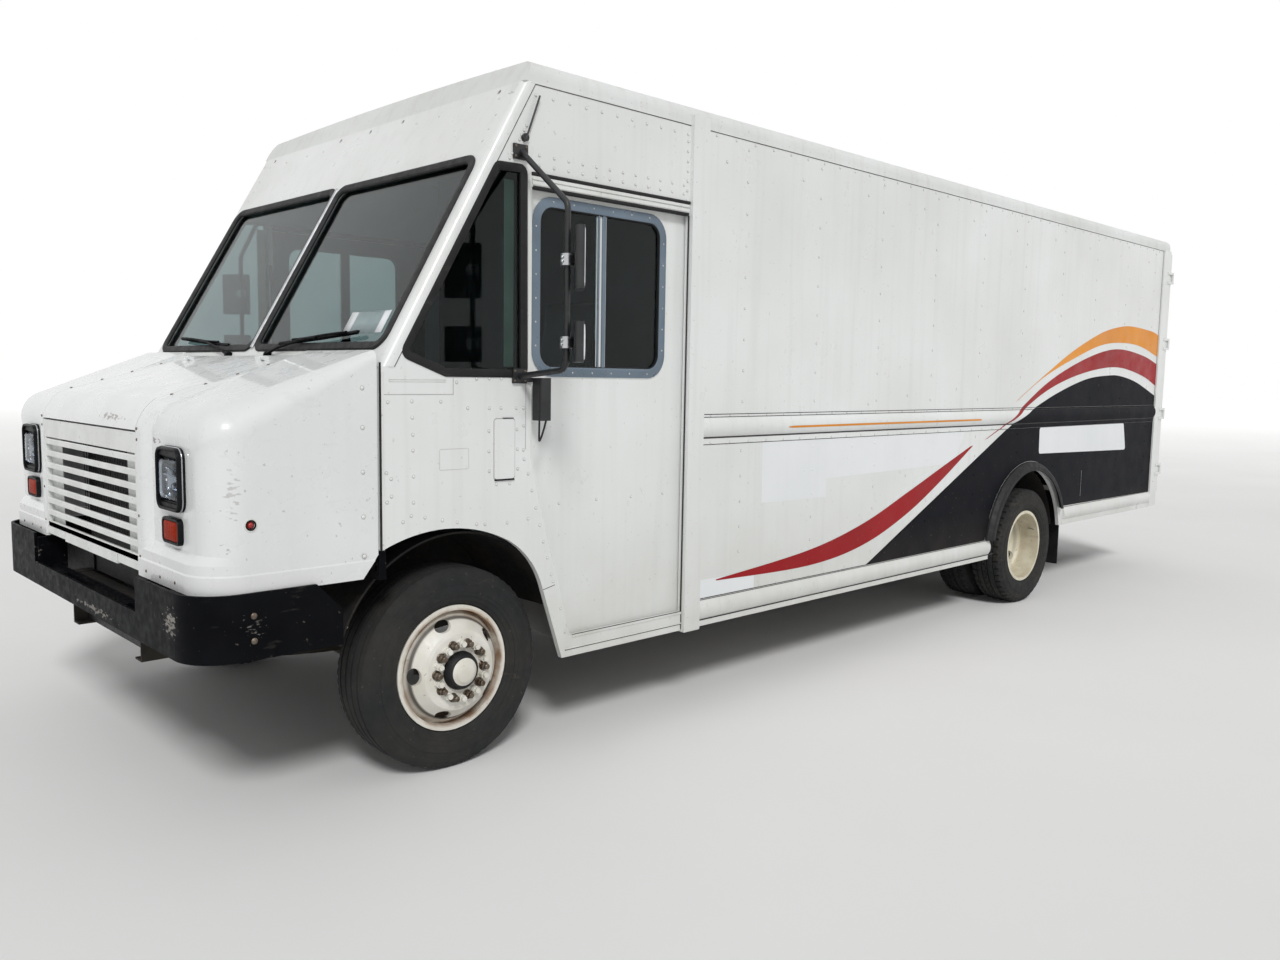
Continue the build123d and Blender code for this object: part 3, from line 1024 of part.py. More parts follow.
# Driver's seat: pedestal, then the cushions
SEAT_Y = FRONT + 1700
with BuildPart() as seat_pedestal:
    block(300, 620, SEAT_Y + 40, SEAT_Y + 440, FLOOR_TOP, 1180)
    block(250, 670, SEAT_Y, SEAT_Y + 480, 1180, 1210)

with BuildPart() as seat_cushions:
    block(220, 700, SEAT_Y - 10, SEAT_Y + 470, 1210.3, 1330)
    side_prism([(SEAT_Y + 380, 1325), (SEAT_Y + 500, 1325), (SEAT_Y + 610, 2010), (SEAT_Y + 520, 2030)],
               235, 685)

# Mirrors on tubular loops either side of the cab
MIRROR_Y = FRONT + 1340
LOOP_X = 1490
AERIAL_FOOT_Z = 2566
with BuildPart() as mirrors:
    with BuildLine() as path:
        FilletPolyline((HALF + 8, MIRROR_Y + 5, 2506), (LOOP_X, MIRROR_Y, 2275), (LOOP_X, MIRROR_Y, 1640),
                       (HALF + 8, MIRROR_Y, 1612), radius=45)
    with BuildSketch(Plane(origin=path.line @ 0, z_dir=path.line % 0)):
        Circle(12)
    sweep()
    for z in (2506, 1612):
        block(HALF, HALF + 10, MIRROR_Y - 35, MIRROR_Y + 35, z - 30, z + 30)
    for z0, z1 in ((1944, 2178), (1669, 1822)):
        block(LOOP_X + 10, LOOP_X + 30, MIRROR_Y - 12, MIRROR_Y + 12, (z0 + z1) / 2 - 14, (z0 + z1) / 2 + 14)
        with BuildSketch(Plane(origin=(LOOP_X + 70, MIRROR_Y, z0), x_dir=(0.79, -0.61, 0), z_dir=(0, 0, 1))):
            RectangleRounded(165, 34, 12)
        extrude(amount=z1 - z0)
        block(LOOP_X - 18, LOOP_X + 18, MIRROR_Y - 18, MIRROR_Y + 18, (z0 + z1) / 2 - 22, (z0 + z1) / 2 + 22)
    block(HALF, HALF + 12, MIRROR_Y - 20, MIRROR_Y + 110, 1588, 1606)
    block(HALF + 12, HALF + 72, MIRROR_Y + 62, MIRROR_Y + 112, 1430, 1606)
    mirror(about=Plane.YZ)
    rod((HALF, MIRROR_Y + 22, AERIAL_FOOT_Z), (HALF + 14, MIRROR_Y + 22, AERIAL_FOOT_Z), 16)
    rod((HALF + 12, MIRROR_Y + 22, AERIAL_FOOT_Z - 8), (HALF + 16, MIRROR_Y + 89, AERIAL_FOOT_Z + 173), 4)

# Wipers parked on the windscreen
with BuildPart() as wipers:
    for side in (1, -1):
        pivot = screen_plane.from_local_coords(Vector(side * 207 - 60, 40, 9))
        elbow = screen_plane.from_local_coords(Vector(side * 207 + 330, 118, 16))
        tip = screen_plane.from_local_coords(Vector(side * 207 + 560, 148, 12))
        tail = screen_plane.from_local_coords(Vector(side * 207 + 110, 92, 12))
        rod(tuple(pivot), tuple(elbow), 7)
        rod(tuple(tail), tuple(tip), 8)
        rod(tuple(pivot), tuple(screen_plane.from_local_coords(Vector(side * 207 - 60, 40, 0))), 14)

# Mud flaps behind the rear wheels, and the rear step bumper on the rails
with BuildPart() as mud_flaps:
    both_blocks(640, SIDE_INNER - 6, REAR_AXLE + 640, REAR_AXLE + 646, 205, FLOOR_BOTTOM)

with BuildPart() as rear_bumper:
    block(-900, 900, BODY_REAR - 130, BODY_REAR + 20, 430, 520)
    block(-890, 890, BODY_REAR - 140, BODY_REAR + 10, 438, 530, Mode.SUBTRACT)
    both_blocks(RAIL_INNER, RAIL_OUTER, RAIL_REAR, BODY_REAR + 12, RAIL_BOTTOM, RAIL_TOP - 80)

PIECES = {
    "chassis_frame": chassis_frame, "front_axle": front_axle, "rear_axle": rear_axle,
    "knuckle_left": knuckle_left, "knuckle_right": knuckle_right, "tie_rod": tie_rod,
    "wheel_front_left": wheel_front_left, "wheel_front_right": wheel_front_right,
    "wheel_rear_left": wheel_rear_left, "wheel_rear_right": wheel_rear_right,
    "tyre_front_left": tyre_front_left, "tyre_front_right": tyre_front_right,
    "tyre_rear_left": tyre_rear_left, "tyre_rear_right": tyre_rear_right,
    "engine_block": engine_block, "radiator": radiator, "propeller_shaft": propeller_shaft,
    "fuel_tank": fuel_tank, "exhaust": exhaust, "front_bumper": front_bumper,
    "nose_shell": nose_shell, "hood_lid": hood_lid, "grille": grille, "headlamps": headlamps,
    "signal_lamps": signal_lamps, "cab_front": cab_front, "cab_glass": cab_glass,
    "cab_side_left": cab_side_left, "cab_side_right": cab_side_right,
    "cab_door_left": cab_door_left, "cab_door_right": cab_door_right,
    "door_glass_left": door_glass_left, "door_glass_right": door_glass_right,
    "cargo_side_left": cargo_side_left, "cargo_side_right": cargo_side_right,
    "wheel_flares": wheel_flares, "roof": roof, "rear_frame": rear_frame,
    "rear_door_left": rear_door_left, "rear_door_right": rear_door_right, "floor": floor,
    "wheel_houses": wheel_houses, "step_wells": step_wells,
    "bulkhead": bulkhead, "dashboard": dashboard, "seat_pedestal": seat_pedestal,
    "seat_cushions": seat_cushions, "mirrors": mirrors, "wipers": wipers,
    "mud_flaps": mud_flaps, "rear_bumper": rear_bumper,
}

os.makedirs("parts", exist_ok=True)
for name, piece in PIECES.items():
    piece.part.label = name
    export_step(piece.part, f"parts/{name}.step")
    print(name, round(piece.part.volume / 1e9, 5), len(piece.part.solids()))
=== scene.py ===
# %% [markdown]
# A bonneted walk-in delivery truck, dressed for looks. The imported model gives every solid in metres,
# with the front towards -Y, the truck's left side towards +X and the ground at Z = 0. This script adds
# finishes and the small pieces that the solids leave out: tyre tread, lamp lenses, rubber, rivets and
# painted stripes. The model is loaded first, so each new piece is placed by numbers and not by eye.

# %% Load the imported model
from math import asin, atan2, cos, hypot, pi, radians, sin, tan

import bmesh
import bpy
from mathutils import Matrix, Vector


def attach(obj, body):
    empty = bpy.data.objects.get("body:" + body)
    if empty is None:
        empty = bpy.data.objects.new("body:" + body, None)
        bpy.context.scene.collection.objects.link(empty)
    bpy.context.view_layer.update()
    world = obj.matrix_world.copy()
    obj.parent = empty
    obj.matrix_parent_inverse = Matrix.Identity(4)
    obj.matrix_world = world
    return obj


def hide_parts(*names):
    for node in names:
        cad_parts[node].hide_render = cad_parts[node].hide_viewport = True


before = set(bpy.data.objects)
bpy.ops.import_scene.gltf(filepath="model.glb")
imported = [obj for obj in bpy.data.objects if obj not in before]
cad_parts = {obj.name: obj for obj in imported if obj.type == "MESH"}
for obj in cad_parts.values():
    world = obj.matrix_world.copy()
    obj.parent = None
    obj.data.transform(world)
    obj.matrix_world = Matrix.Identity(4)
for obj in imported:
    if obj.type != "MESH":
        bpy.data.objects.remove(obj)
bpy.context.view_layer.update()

HALF = 1.1875
BUMPER_FACE = -4.31


def station(mm):
    """A place along the truck in metres, from millimetres measured back from the bumper."""
    return BUMPER_FACE + mm / 1000


FRONT_AXLE, REAR_AXLE, AXLE_HEIGHT = station(1077), station(6023), 0.419
LAMP_FACE = station(72)
SCREEN_BASE, SCREEN_FOOT, SCREEN_OUT = station(705), 1.64, (0, -0.868, 0.4965)
SIDES = ((1, "left"), (-1, "right"))

# %% [markdown]
# The camera stands where the picture was taken: at eye height, off the left front corner, looking a
# little down, with a slight roll. Its matrix could come from a Track To constraint, but a constraint
# has no roll, so the three axes are worked out from the angles and written into the matrix.

# %% Camera at the picture's place
TURN, PITCH, ROLL = radians(45.732), radians(5.811), radians(0.953)
EYE = (4.5647, -5.5578, 1.622)
ahead = Vector((-sin(TURN) * cos(PITCH), cos(TURN) * cos(PITCH), -sin(PITCH)))
level = Vector((cos(TURN), sin(TURN), 0))
upright = level.cross(ahead)
across = level * cos(ROLL) + upright * sin(ROLL)
above = upright * cos(ROLL) - level * sin(ROLL)
camera_data = bpy.data.cameras.new("camera")
camera_data.lens = 28.84
camera_data.sensor_width = 36
camera_data.clip_end = 300
camera = bpy.data.objects.new("camera", camera_data)
bpy.context.scene.collection.objects.link(camera)
pointing = Matrix((across, above, -ahead)).transposed().to_4x4()
camera.matrix_world = Matrix.Translation(EYE) @ pointing
bpy.context.scene.camera = camera
print("camera", [round(v, 2) for v in camera.location], "lens", camera_data.lens)

# %% [markdown]
# The studio is a wide pale floor under a white sky. A soft sun gives the panels their form, and the
# world fills the shadows. The sky is full white only for what the camera, a reflection or a pane of
# glass sees, by the Light Path node; as a lamp it is weaker, so white paint keeps its shade.

# %% Studio light and floor
SKY_FILL = 0.42
SUN_STRENGTH = 1.75
world = bpy.data.worlds.new("studio")
bpy.context.scene.world = world
world.use_nodes = True
nodes = world.node_tree.nodes
sky = nodes["Background"]
path = nodes.new("ShaderNodeLightPath")
seen = [nodes.new("ShaderNodeMath") for _ in range(3)]
for step, operation in zip(seen, ("MAXIMUM", "MAXIMUM", "MULTIPLY_ADD")):
    step.operation = operation
wire = world.node_tree.links.new
wire(path.outputs["Is Camera Ray"], seen[0].inputs[0])
wire(path.outputs["Is Glossy Ray"], seen[0].inputs[1])
wire(seen[0].outputs[0], seen[1].inputs[0])
wire(path.outputs["Is Transmission Ray"], seen[1].inputs[1])
wire(seen[1].outputs[0], seen[2].inputs[0])
seen[2].inputs[1].default_value = 1 - SKY_FILL
seen[2].inputs[2].default_value = SKY_FILL
wire(seen[2].outputs[0], sky.inputs["Strength"])
sky.inputs["Color"].default_value = (1, 1, 1, 1)
sun_data = bpy.data.lights.new("soft sun", "SUN")
sun_data.energy = SUN_STRENGTH
sun_data.angle = radians(14)
sun = bpy.data.objects.new("soft sun", sun_data)
bpy.context.scene.collection.objects.link(sun)
sun.rotation_mode = "QUATERNION"
sun.rotation_quaternion = Vector((0.62, -0.42, 0.70)).to_track_quat("Z", "Y")
bpy.context.scene.view_settings.view_transform = "Standard"
print("sun", SUN_STRENGTH, "sky fill", SKY_FILL)

# %% [markdown]
# Every finish is a small tree of nodes on object coordinates, which here are metres on the truck. Big
# soft noise varies the colour, stretched noise draws rain streaks, a height ramp gathers road dirt
# near the ground, and fine noise breaks the gloss and the bump. One function builds all of them,
# because real finishes differ mostly in those few amounts.

# %% Node helpers
def tone(red, green, blue):
    """A colour from its screen values, 0 to 255, in the linear form that a shader takes."""
    screen_values = [v / 255 for v in (red, green, blue)]
    return tuple(v / 12.92 if v < 0.0431 else ((v + 0.055) / 1.055) ** 2.4 for v in screen_values) + (1,)


def node(tree, kind, sockets=None, **settings):
    """One shader node with its settings, each socket given a number, a colour or a link."""
    made = tree.nodes.new("ShaderNode" + kind)
    for key, value in settings.items():
        setattr(made, key, value)
    for key, value in (sockets or {}).items():
        if isinstance(value, bpy.types.NodeSocket):
            tree.links.new(value, made.inputs[key])
        else:
            made.inputs[key].default_value = value
    return made


def mix(tree, share, first, second):
    """The first colour, with that share of the second over it."""
    return node(tree, "Mix", {0: share, 6: first, 7: second}, data_type="RGBA").outputs[2]


def spread(tree, value, low, high, to_low=0.0, to_high=1.0):
    """Maps a value's range from low to high onto another range."""
    sockets = {"Value": value, "From Min": low, "From Max": high, "To Min": to_low, "To Max": to_high}
    return node(tree, "MapRange", sockets).outputs[0]


def cloud(tree, place, scale, detail=4.0, stretch=None):
    """Noise at so many lumps a metre, stretched along an axis where asked."""
    if stretch:
        place = node(tree, "Mapping", {"Vector": place, "Scale": stretch}).outputs[0]
    return node(tree, "TexNoise", {"Vector": place, "Scale": scale, "Detail": detail}).outputs["Fac"]


# %% The finish builder
DUST = tone(150, 138, 118)
finishes = {}


def finish(name, colour, second, rough=0.45, rough_spread=0.1, patch=1.5, grain=60.0, bump=0.1, streak=0.0,
           streak_tone=DUST, grime=None, specks=0.0, speck_tone=DUST, scuff=0.0, scuff_tone=DUST, extra=None,
           **fixed):
    """A finish from two tones, with streaks, low grime (low, high, share), specks and scuffs as asked."""
    made = bpy.data.materials.new(name)
    made.use_nodes = True
    tree = made.node_tree
    shader = tree.nodes["Principled BSDF"]
    place = node(tree, "TexCoord").outputs["Object"]
    paint = mix(tree, spread(tree, cloud(tree, place, patch), 0.36, 0.64), colour, second)
    if streak:
        runs = cloud(tree, place, 2.2, 6.0, (9, 9, 0.35))
        paint = mix(tree, spread(tree, runs, 0.5, 0.8, 0, streak), paint, streak_tone)
    if scuff:
        marks = cloud(tree, place, 7.0, 9.0, (1, 1, 3.5))
        paint = mix(tree, spread(tree, marks, 0.64, 0.7, 0, scuff), paint, scuff_tone)
    if specks:
        dots = cloud(tree, place, 55.0, 2.0)
        paint = mix(tree, spread(tree, dots, 0.7, 0.74, 0, specks), paint, speck_tone)
    if grime:
        low, high, share = grime
        height = node(tree, "SeparateXYZ", {"Vector": place}).outputs["Z"]
        lumps = spread(tree, cloud(tree, place, 5.0, 6.0), 0.3, 0.7, 0.35, 1)
        reach = node(tree, "Math", {0: spread(tree, height, low, high, share, 0), 1: lumps},
                     operation="MULTIPLY")
        paint = mix(tree, reach.outputs[0], paint, DUST)
    if extra:
        paint = extra(tree, place, paint)
    tree.links.new(paint, shader.inputs["Base Color"])
    gloss = spread(tree, cloud(tree, place, patch * 6, 5.0), 0.3, 0.7, rough - rough_spread,
                   rough + rough_spread)
    tree.links.new(gloss, shader.inputs["Roughness"])
    fine = node(tree, "Bump", {"Height": cloud(tree, place, grain, 3.0), "Strength": bump, "Distance": 0.002})
    tree.links.new(fine.outputs[0], shader.inputs["Normal"])
    for key, value in fixed.items():
        shader.inputs[key.replace("_", " ")].default_value = value
    finishes[name] = made
    return made


# %% [markdown]
# The floor is one broad sheet of pale matt card. It has the same kind of finish as the rest, only paler
# and plainer, and it keeps the shadow.
# Far from the truck it glows a little, so that it meets the white sky without a line.

# %% Floor sheet
floor_mesh = bpy.data.meshes.new("studio_floor")
REACH = 120
FAR_GLOW = 0.33
corners = [(-REACH, -REACH, 0), (REACH, -REACH, 0), (REACH, REACH, 0), (-REACH, REACH, 0)]
floor_mesh.from_pydata(corners, [], [(0, 1, 2, 3)])
studio_floor = bpy.data.objects.new("studio_floor", floor_mesh)
bpy.context.scene.collection.objects.link(studio_floor)
floor_card = finish("studio floor", tone(240, 240, 239), tone(236, 236, 235), rough=0.8, patch=0.3, bump=0.0)
card_tree = floor_card.node_tree
spot = node(card_tree, "TexCoord").outputs["Object"]
distance = node(card_tree, "VectorMath", {0: spot}, operation="LENGTH").outputs["Value"]
card_shader = card_tree.nodes["Principled BSDF"]
glow = spread(card_tree, distance, 9, 45, 0, FAR_GLOW)
card_tree.links.new(glow, card_shader.inputs["Emission Strength"])
card_shader.inputs["Emission Color"].default_value = (1, 1, 1, 1)
floor_mesh.materials.append(floor_card)

# %% [markdown]
# The body is white enamel over aluminium sheet. It has gone slightly yellow, rain has drawn pale grey
# streaks down it, and dust has settled near the skirts. The nose is the same paint on moulded plastic,
# with scuffs and stone chips at the front. A clear coat gives the soft second highlight. Inside the cab
# the same solids get a near-black painted shade, which a test of the place inside the material decides.

# %% White paints
WHITE, OLD_WHITE = tone(228, 230, 229), tone(218, 220, 217)
ENAMEL = dict(rough=0.36, patch=0.9, grain=9, bump=0.08, streak=0.2, streak_tone=tone(186, 188, 184),
              grime=(0.3, 0.95, 0.3), specks=0.25, Coat_Weight=0.2)
# Near-black painted shade for the cab's inner faces, seen through the glass.
INTERIOR_SHADE_GREY = tone(14, 14, 15)
body_paint = finish("body paint", WHITE, OLD_WHITE, **ENAMEL)


def painted_interior_shade(depth):
    """Painted dark shade inside the cab, further in than that from the middle and behind the windscreen."""
    def paint_over(tree, place, paint):
        apart = node(tree, "SeparateXYZ", {"Vector": place}).outputs
        inward = node(tree, "Math", {0: apart["X"]}, operation="ABSOLUTE").outputs[0]
        behind = node(tree, "VectorMath", {0: place, 1: SCREEN_OUT}, operation="DOT_PRODUCT").outputs["Value"]
        screen_at = SCREEN_OUT[1] * SCREEN_BASE + SCREEN_OUT[2] * SCREEN_FOOT
        within = spread(tree, inward, depth - 0.001, depth, 1, 0)
        past_glass = spread(tree, behind, screen_at - 0.021, screen_at - 0.02, 1, 0)
        both = node(tree, "Math", {0: within, 1: past_glass}, operation="MULTIPLY")
        return mix(tree, both.outputs[0], paint, INTERIOR_SHADE_GREY)
    return paint_over


# Inside the cab these three paints turn near black as painted shade.
cab_paint = finish("cab paint", WHITE, OLD_WHITE, extra=painted_interior_shade(1.16), **ENAMEL)
front_paint = finish("cab front paint", WHITE, OLD_WHITE, extra=painted_interior_shade(1.1635), **ENAMEL)
door_paint = finish("door paint", WHITE, OLD_WHITE, extra=painted_interior_shade(1.146), **ENAMEL)


def scrapes(places, worn):
    """Rubbed places on a finish: each a middle, a size along each axis and a share."""
    def paint_over(tree, place, paint):
        torn = cloud(tree, place, 38.0, 8.0, (1, 1, 2.2))
        for middle, size, share in places:
            away = node(tree, "VectorMath", {0: place, 1: middle}, operation="SUBTRACT").outputs[0]
            away = node(tree, "VectorMath", {0: away, 1: size}, operation="DIVIDE").outputs[0]
            far = node(tree, "VectorMath", {0: away}, operation="LENGTH").outputs["Value"]
            near = spread(tree, far, 0.1, 1, 0.22, -0.2)
            rubbed = node(tree, "Math", {0: near, 1: torn}, operation="ADD").outputs[0]
            paint = mix(tree, spread(tree, rubbed, 0.62, 0.7, 0, share), paint, worn)
        return paint
    return paint_over


nose_paint = finish("nose paint", tone(231, 233, 233), tone(222, 224, 224), rough=0.3, patch=1.4, grain=14,
                    bump=0.04, streak=0.1, streak_tone=tone(196, 198, 197), grime=(0.8, 1.0, 0.15), specks=0.35,
                    speck_tone=tone(120, 112, 100), scuff=0.1, scuff_tone=tone(176, 174, 168), Coat_Weight=0.35,
                    extra=scrapes([((0.3, station(62), 1.43), (0.32, 0.06, 0.035), 0.8),
                                   ((0.71, LAMP_FACE - 0.01, 1.362), (0.09, 0.06, 0.03), 0.9),
                                   ((1.15, station(170), 1.02), (0.06, 0.12, 0.05), 0.5),
                                   ((1.17, station(160), 1.2), (0.05, 0.06, 0.2), 0.35)], tone(118, 108, 98)))
grille_paint = finish("grille paint", tone(229, 231, 229), tone(217, 219, 216), rough=0.42, patch=9, grain=60,
                      bump=0.08, specks=0.4, speck_tone=tone(104, 92, 76), scuff=0.15,
                      scuff_tone=tone(160, 154, 142))
roof_paint = finish("roof paint", tone(224, 226, 225), tone(213, 215, 212), rough=0.5, patch=1.1, grain=12,
                    bump=0.08, streak=0.15, specks=0.3)
rail_paint = finish("rail paint", tone(226, 228, 226), tone(214, 216, 212), rough=0.4, patch=2.5, grain=30,
                    bump=0.1, streak=0.15, grime=(0.35, 0.8, 0.3), specks=0.4, speck_tone=tone(110, 100, 86))
print(len(finishes), "finishes so far")

# %% [markdown]
# The wheels are painted pressed steel. Rust water runs out of the rim well, so the stain follows the
# distance from the axle, which two subtractions and a length give inside the material. A dark band of
# painted shade lies in the corner of the well. The nuts keep their own steel finish as separate pieces.

# %% Wheel, steel and rubber finishes
def rust_and_well_shade(axle, most):
    """Rust in the rim well and a band of painted shade at its corner, up to that share, for the axle at that
    place.
    """
    def paint_over(tree, place, paint):
        apart = node(tree, "SeparateXYZ", {"Vector": place}).outputs
        y = node(tree, "Math", {0: apart["Y"], 1: axle}, operation="SUBTRACT").outputs[0]
        z = node(tree, "Math", {0: apart["Z"], 1: AXLE_HEIGHT}, operation="SUBTRACT").outputs[0]
        flat = node(tree, "CombineXYZ", {"X": y, "Y": z}).outputs[0]
        radius = node(tree, "VectorMath", {0: flat}, operation="LENGTH").outputs["Value"]
        well = spread(tree, radius, 0.2, 0.236, 0, 1)
        rim = spread(tree, radius, 0.241, 0.25, 1, 0.12)
        stain = node(tree, "Math", {0: well, 1: rim}, operation="MULTIPLY").outputs[0]
        lumps = spread(tree, cloud(tree, place, 11.0, 7.0), 0.34, 0.62, 0.1, most)
        share = node(tree, "Math", {0: stain, 1: lumps}, operation="MULTIPLY").outputs[0]
        paint = mix(tree, share, paint, tone(140, 104, 70))
        # The dark band at the corner of the well is painted shade.
        inner, outer = spread(tree, radius, 0.2, 0.206, 0, most), spread(tree, radius, 0.211, 0.219, 1, 0)
        corner = node(tree, "Math", {0: inner, 1: outer}, operation="MULTIPLY")
        return mix(tree, corner.outputs[0], paint, tone(44, 38, 33))
    return paint_over


WHEEL_LOOKS = (("front", FRONT_AXLE, 0.85, tone(228, 226, 218), tone(212, 208, 197)),
               ("rear", REAR_AXLE, 0.3, tone(228, 224, 203), tone(212, 206, 184)))
wheel_paints = {}
for end, axle, most, fresh, old in WHEEL_LOOKS:
    wheel_paints[end] = finish(f"wheel paint {end}", fresh, old, rough=0.48, patch=9, grain=70, bump=0.15,
                               specks=0.5, speck_tone=tone(120, 92, 62), scuff=0.3,
                               scuff_tone=tone(160, 146, 124), extra=rust_and_well_shade(axle, most))
tyre_rubber = finish("tyre rubber", tone(37, 38, 39), tone(49, 48, 46), rough=0.85, patch=4, grain=140,
                     bump=0.25, specks=0.35, speck_tone=tone(104, 96, 84), scuff=0.25,
                     scuff_tone=tone(84, 77, 68), Specular_IOR_Level=0.25)
trim_rubber = finish("trim rubber", tone(20, 20, 22), tone(31, 31, 32), rough=0.6, patch=5, grain=120,
                     bump=0.15, scuff=0.2, scuff_tone=tone(70, 68, 64), Specular_IOR_Level=0.3)
nut_steel = finish("nut steel", tone(120, 112, 102), tone(84, 68, 54), rough=0.45, patch=60, grain=200,
                   bump=0.2, specks=0.5, speck_tone=tone(118, 70, 40), Metallic=0.8)
bright_steel = finish("bright steel", tone(196, 198, 200), tone(176, 178, 180), rough=0.3, patch=9, grain=60,
                      bump=0.03, Metallic=1.0)
window_alloy = finish("window alloy", tone(112, 126, 139), tone(98, 112, 125), rough=0.34, patch=3, grain=60,
                      bump=0.03, Metallic=0.5)

# %% [markdown]
# The bumper is black enamel, glossy where it is sound and grey where it has been rubbed. The frame,
# axles and wheel boxes under the body are dull black with road dirt. Glass is a clear shader with a
# grey-green tint, since a van's panes look dark from outside and clear through two of them.

# %% Dark finishes and glass
bumper_black = finish("bumper black", tone(10, 11, 14), tone(16, 17, 20), rough=0.45, rough_spread=0.1, patch=5,
                      grain=60, bump=0.1, specks=0.4, speck_tone=tone(120, 112, 100), scuff=0.25,
                      scuff_tone=tone(80, 77, 73), Specular_IOR_Level=0.04,
                      extra=scrapes([((1.0, station(12), 0.76), (0.12, 0.1, 0.12), 0.85),
                                     ((-0.6, station(4), 0.78), (0.12, 0.1, 0.08), 0.6),
                                     ((0.2, station(4), 0.66), (0.5, 0.1, 0.03), 0.7),
                                     ((HALF, station(200), 0.75), (0.05, 0.12, 0.1), 0.45)],
                                    tone(150, 146, 140)))
chassis_black = finish("chassis black", tone(26, 26, 27), tone(40, 37, 34), rough=0.75, patch=6, grain=90,
                       bump=0.3, specks=0.4, speck_tone=tone(110, 74, 50), grime=(0.1, 0.7, 0.3),
                       Specular_IOR_Level=0.25)
iron = finish("engine iron", tone(70, 70, 72), tone(52, 50, 50), rough=0.7, patch=10, grain=110, bump=0.4,
              specks=0.4, Metallic=0.4)
core_metal = finish("core metal", tone(34, 35, 36), tone(50, 50, 50), rough=0.6, patch=12, grain=260, bump=0.5,
                    Metallic=0.3)
tank_metal = finish("tank metal", tone(150, 152, 154), tone(128, 128, 126), rough=0.5, patch=5, grain=80,
                    bump=0.15, grime=(0.3, 0.75, 0.5), Metallic=0.7)
pipe_steel = finish("pipe steel", tone(128, 112, 98), tone(98, 80, 66), rough=0.55, patch=9, grain=90, bump=0.3,
                    specks=0.6, speck_tone=tone(120, 70, 40), Metallic=0.6)
floor_plate = finish("floor plate", tone(158, 158, 156), tone(136, 134, 130), rough=0.5, patch=3, grain=70,
                     bump=0.25, scuff=0.5, scuff_tone=tone(104, 100, 94), Metallic=0.35)
bulkhead_grey = finish("bulkhead grey", tone(46, 48, 52), tone(39, 41, 44), rough=0.6, patch=2, grain=60,
                       bump=0.1)
dash_plastic = finish("dash plastic", tone(44, 45, 48), tone(56, 57, 60), rough=0.65, patch=6, grain=420,
                      bump=0.35)
seat_vinyl = finish("seat vinyl", tone(38, 39, 42), tone(52, 53, 56), rough=0.5, patch=8, grain=300, bump=0.4,
                    scuff=0.2, scuff_tone=tone(84, 82, 80))
mirror_black = finish("mirror black", tone(22, 23, 25), tone(34, 35, 37), rough=0.45, patch=12, grain=160,
                      bump=0.15, scuff=0.3, scuff_tone=tone(90, 90, 90))
# A grey for the painted shadow ring round each rivet's foot, also used for seam and joint lines.
rivet_shadow_and_seam_grey = finish("rivet dirt", tone(156, 157, 155), tone(178, 178, 176), rough=0.7, patch=6, grain=90,
                    bump=0.1)
# Pale tone for the old plate's outline, and for a painted highlight on the flap's left edge.
pale_mark_and_highlight = finish("faint mark", tone(196, 197, 194), tone(206, 207, 204), rough=0.6, patch=9, grain=90,
                    bump=0.05)
# Dark tone for sealant lines and seams, and for painted shadow strips under the rails and the gutter.
sealant_and_shadow = finish("joint sealant", tone(28, 28, 29), tone(46, 45, 43), rough=0.7, patch=8, grain=120, bump=0.2)


def glazing(name, tint, second, rough):
    """See-through glass or lens plastic: tinted, with faint smears in the gloss."""
    return finish(name, tint, second, rough=rough, rough_spread=rough * 0.6, patch=3, grain=6, bump=0.0,
                  IOR=1.27, Transmission_Weight=1.0)


window_glass = glazing("window glass", tone(158, 174, 174), tone(150, 167, 168), 0.02)
lamp_glass = glazing("lamp glass", tone(236, 240, 242), tone(226, 232, 234), 0.03)
mirror_face = finish("mirror face", tone(222, 226, 230), tone(212, 216, 222), rough=0.04, rough_spread=0.02,
                     patch=20, bump=0.0, Metallic=1.0)
print(len(finishes), "finishes")

# %% [markdown]
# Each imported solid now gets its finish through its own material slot. Its mesh isn't touched. The table
# names the solids under each finish, so nothing can be left plain: the last line checks that.

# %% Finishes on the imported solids
DRESS = {
    body_paint: "cargo_side_left cargo_side_right rear_frame rear_door_left rear_door_right",
    cab_paint: "cab_side_left cab_side_right",
    front_paint: "cab_front",
    door_paint: "cab_door_left cab_door_right",
    nose_paint: "nose_shell hood_lid",
    grille_paint: "grille",
    roof_paint: "roof",
    wheel_paints["front"]: "wheel_front_left wheel_front_right",
    wheel_paints["rear"]: "wheel_rear_left wheel_rear_right",
    tyre_rubber: "tyre_front_left tyre_front_right tyre_rear_left tyre_rear_right",
    trim_rubber: "wheel_flares mud_flaps",
    bumper_black: "front_bumper rear_bumper wipers",
    chassis_black: "chassis_frame front_axle rear_axle knuckle_left knuckle_right tie_rod propeller_shaft "
                   "wheel_houses seat_pedestal",
    iron: "engine_block",
    core_metal: "radiator",
    tank_metal: "fuel_tank",
    pipe_steel: "exhaust",
    floor_plate: "floor step_wells",
    bulkhead_grey: "bulkhead",
    dash_plastic: "dashboard",
    seat_vinyl: "seat_cushions",
    mirror_black: "mirrors",
    window_glass: "cab_glass door_glass_left door_glass_right",
    bright_steel: "headlamps signal_lamps",
}
for made, names in DRESS.items():
    for name in names.split():
        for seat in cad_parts[name].material_slots:
            seat.material = made
left_plain = set(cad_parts) - {name for names in DRESS.values() for name in names.split()}
print("solids without a finish:", sorted(left_plain))

# %% [markdown]
# New pieces are built from rings of points. A ring swept along a path makes rubber and trim, a ring
# turned about an axle makes tyres and hubs, and stacked rings make rivets and lenses. These few
# helpers collect points and faces, then hand the piece its finish and the body that carries it.

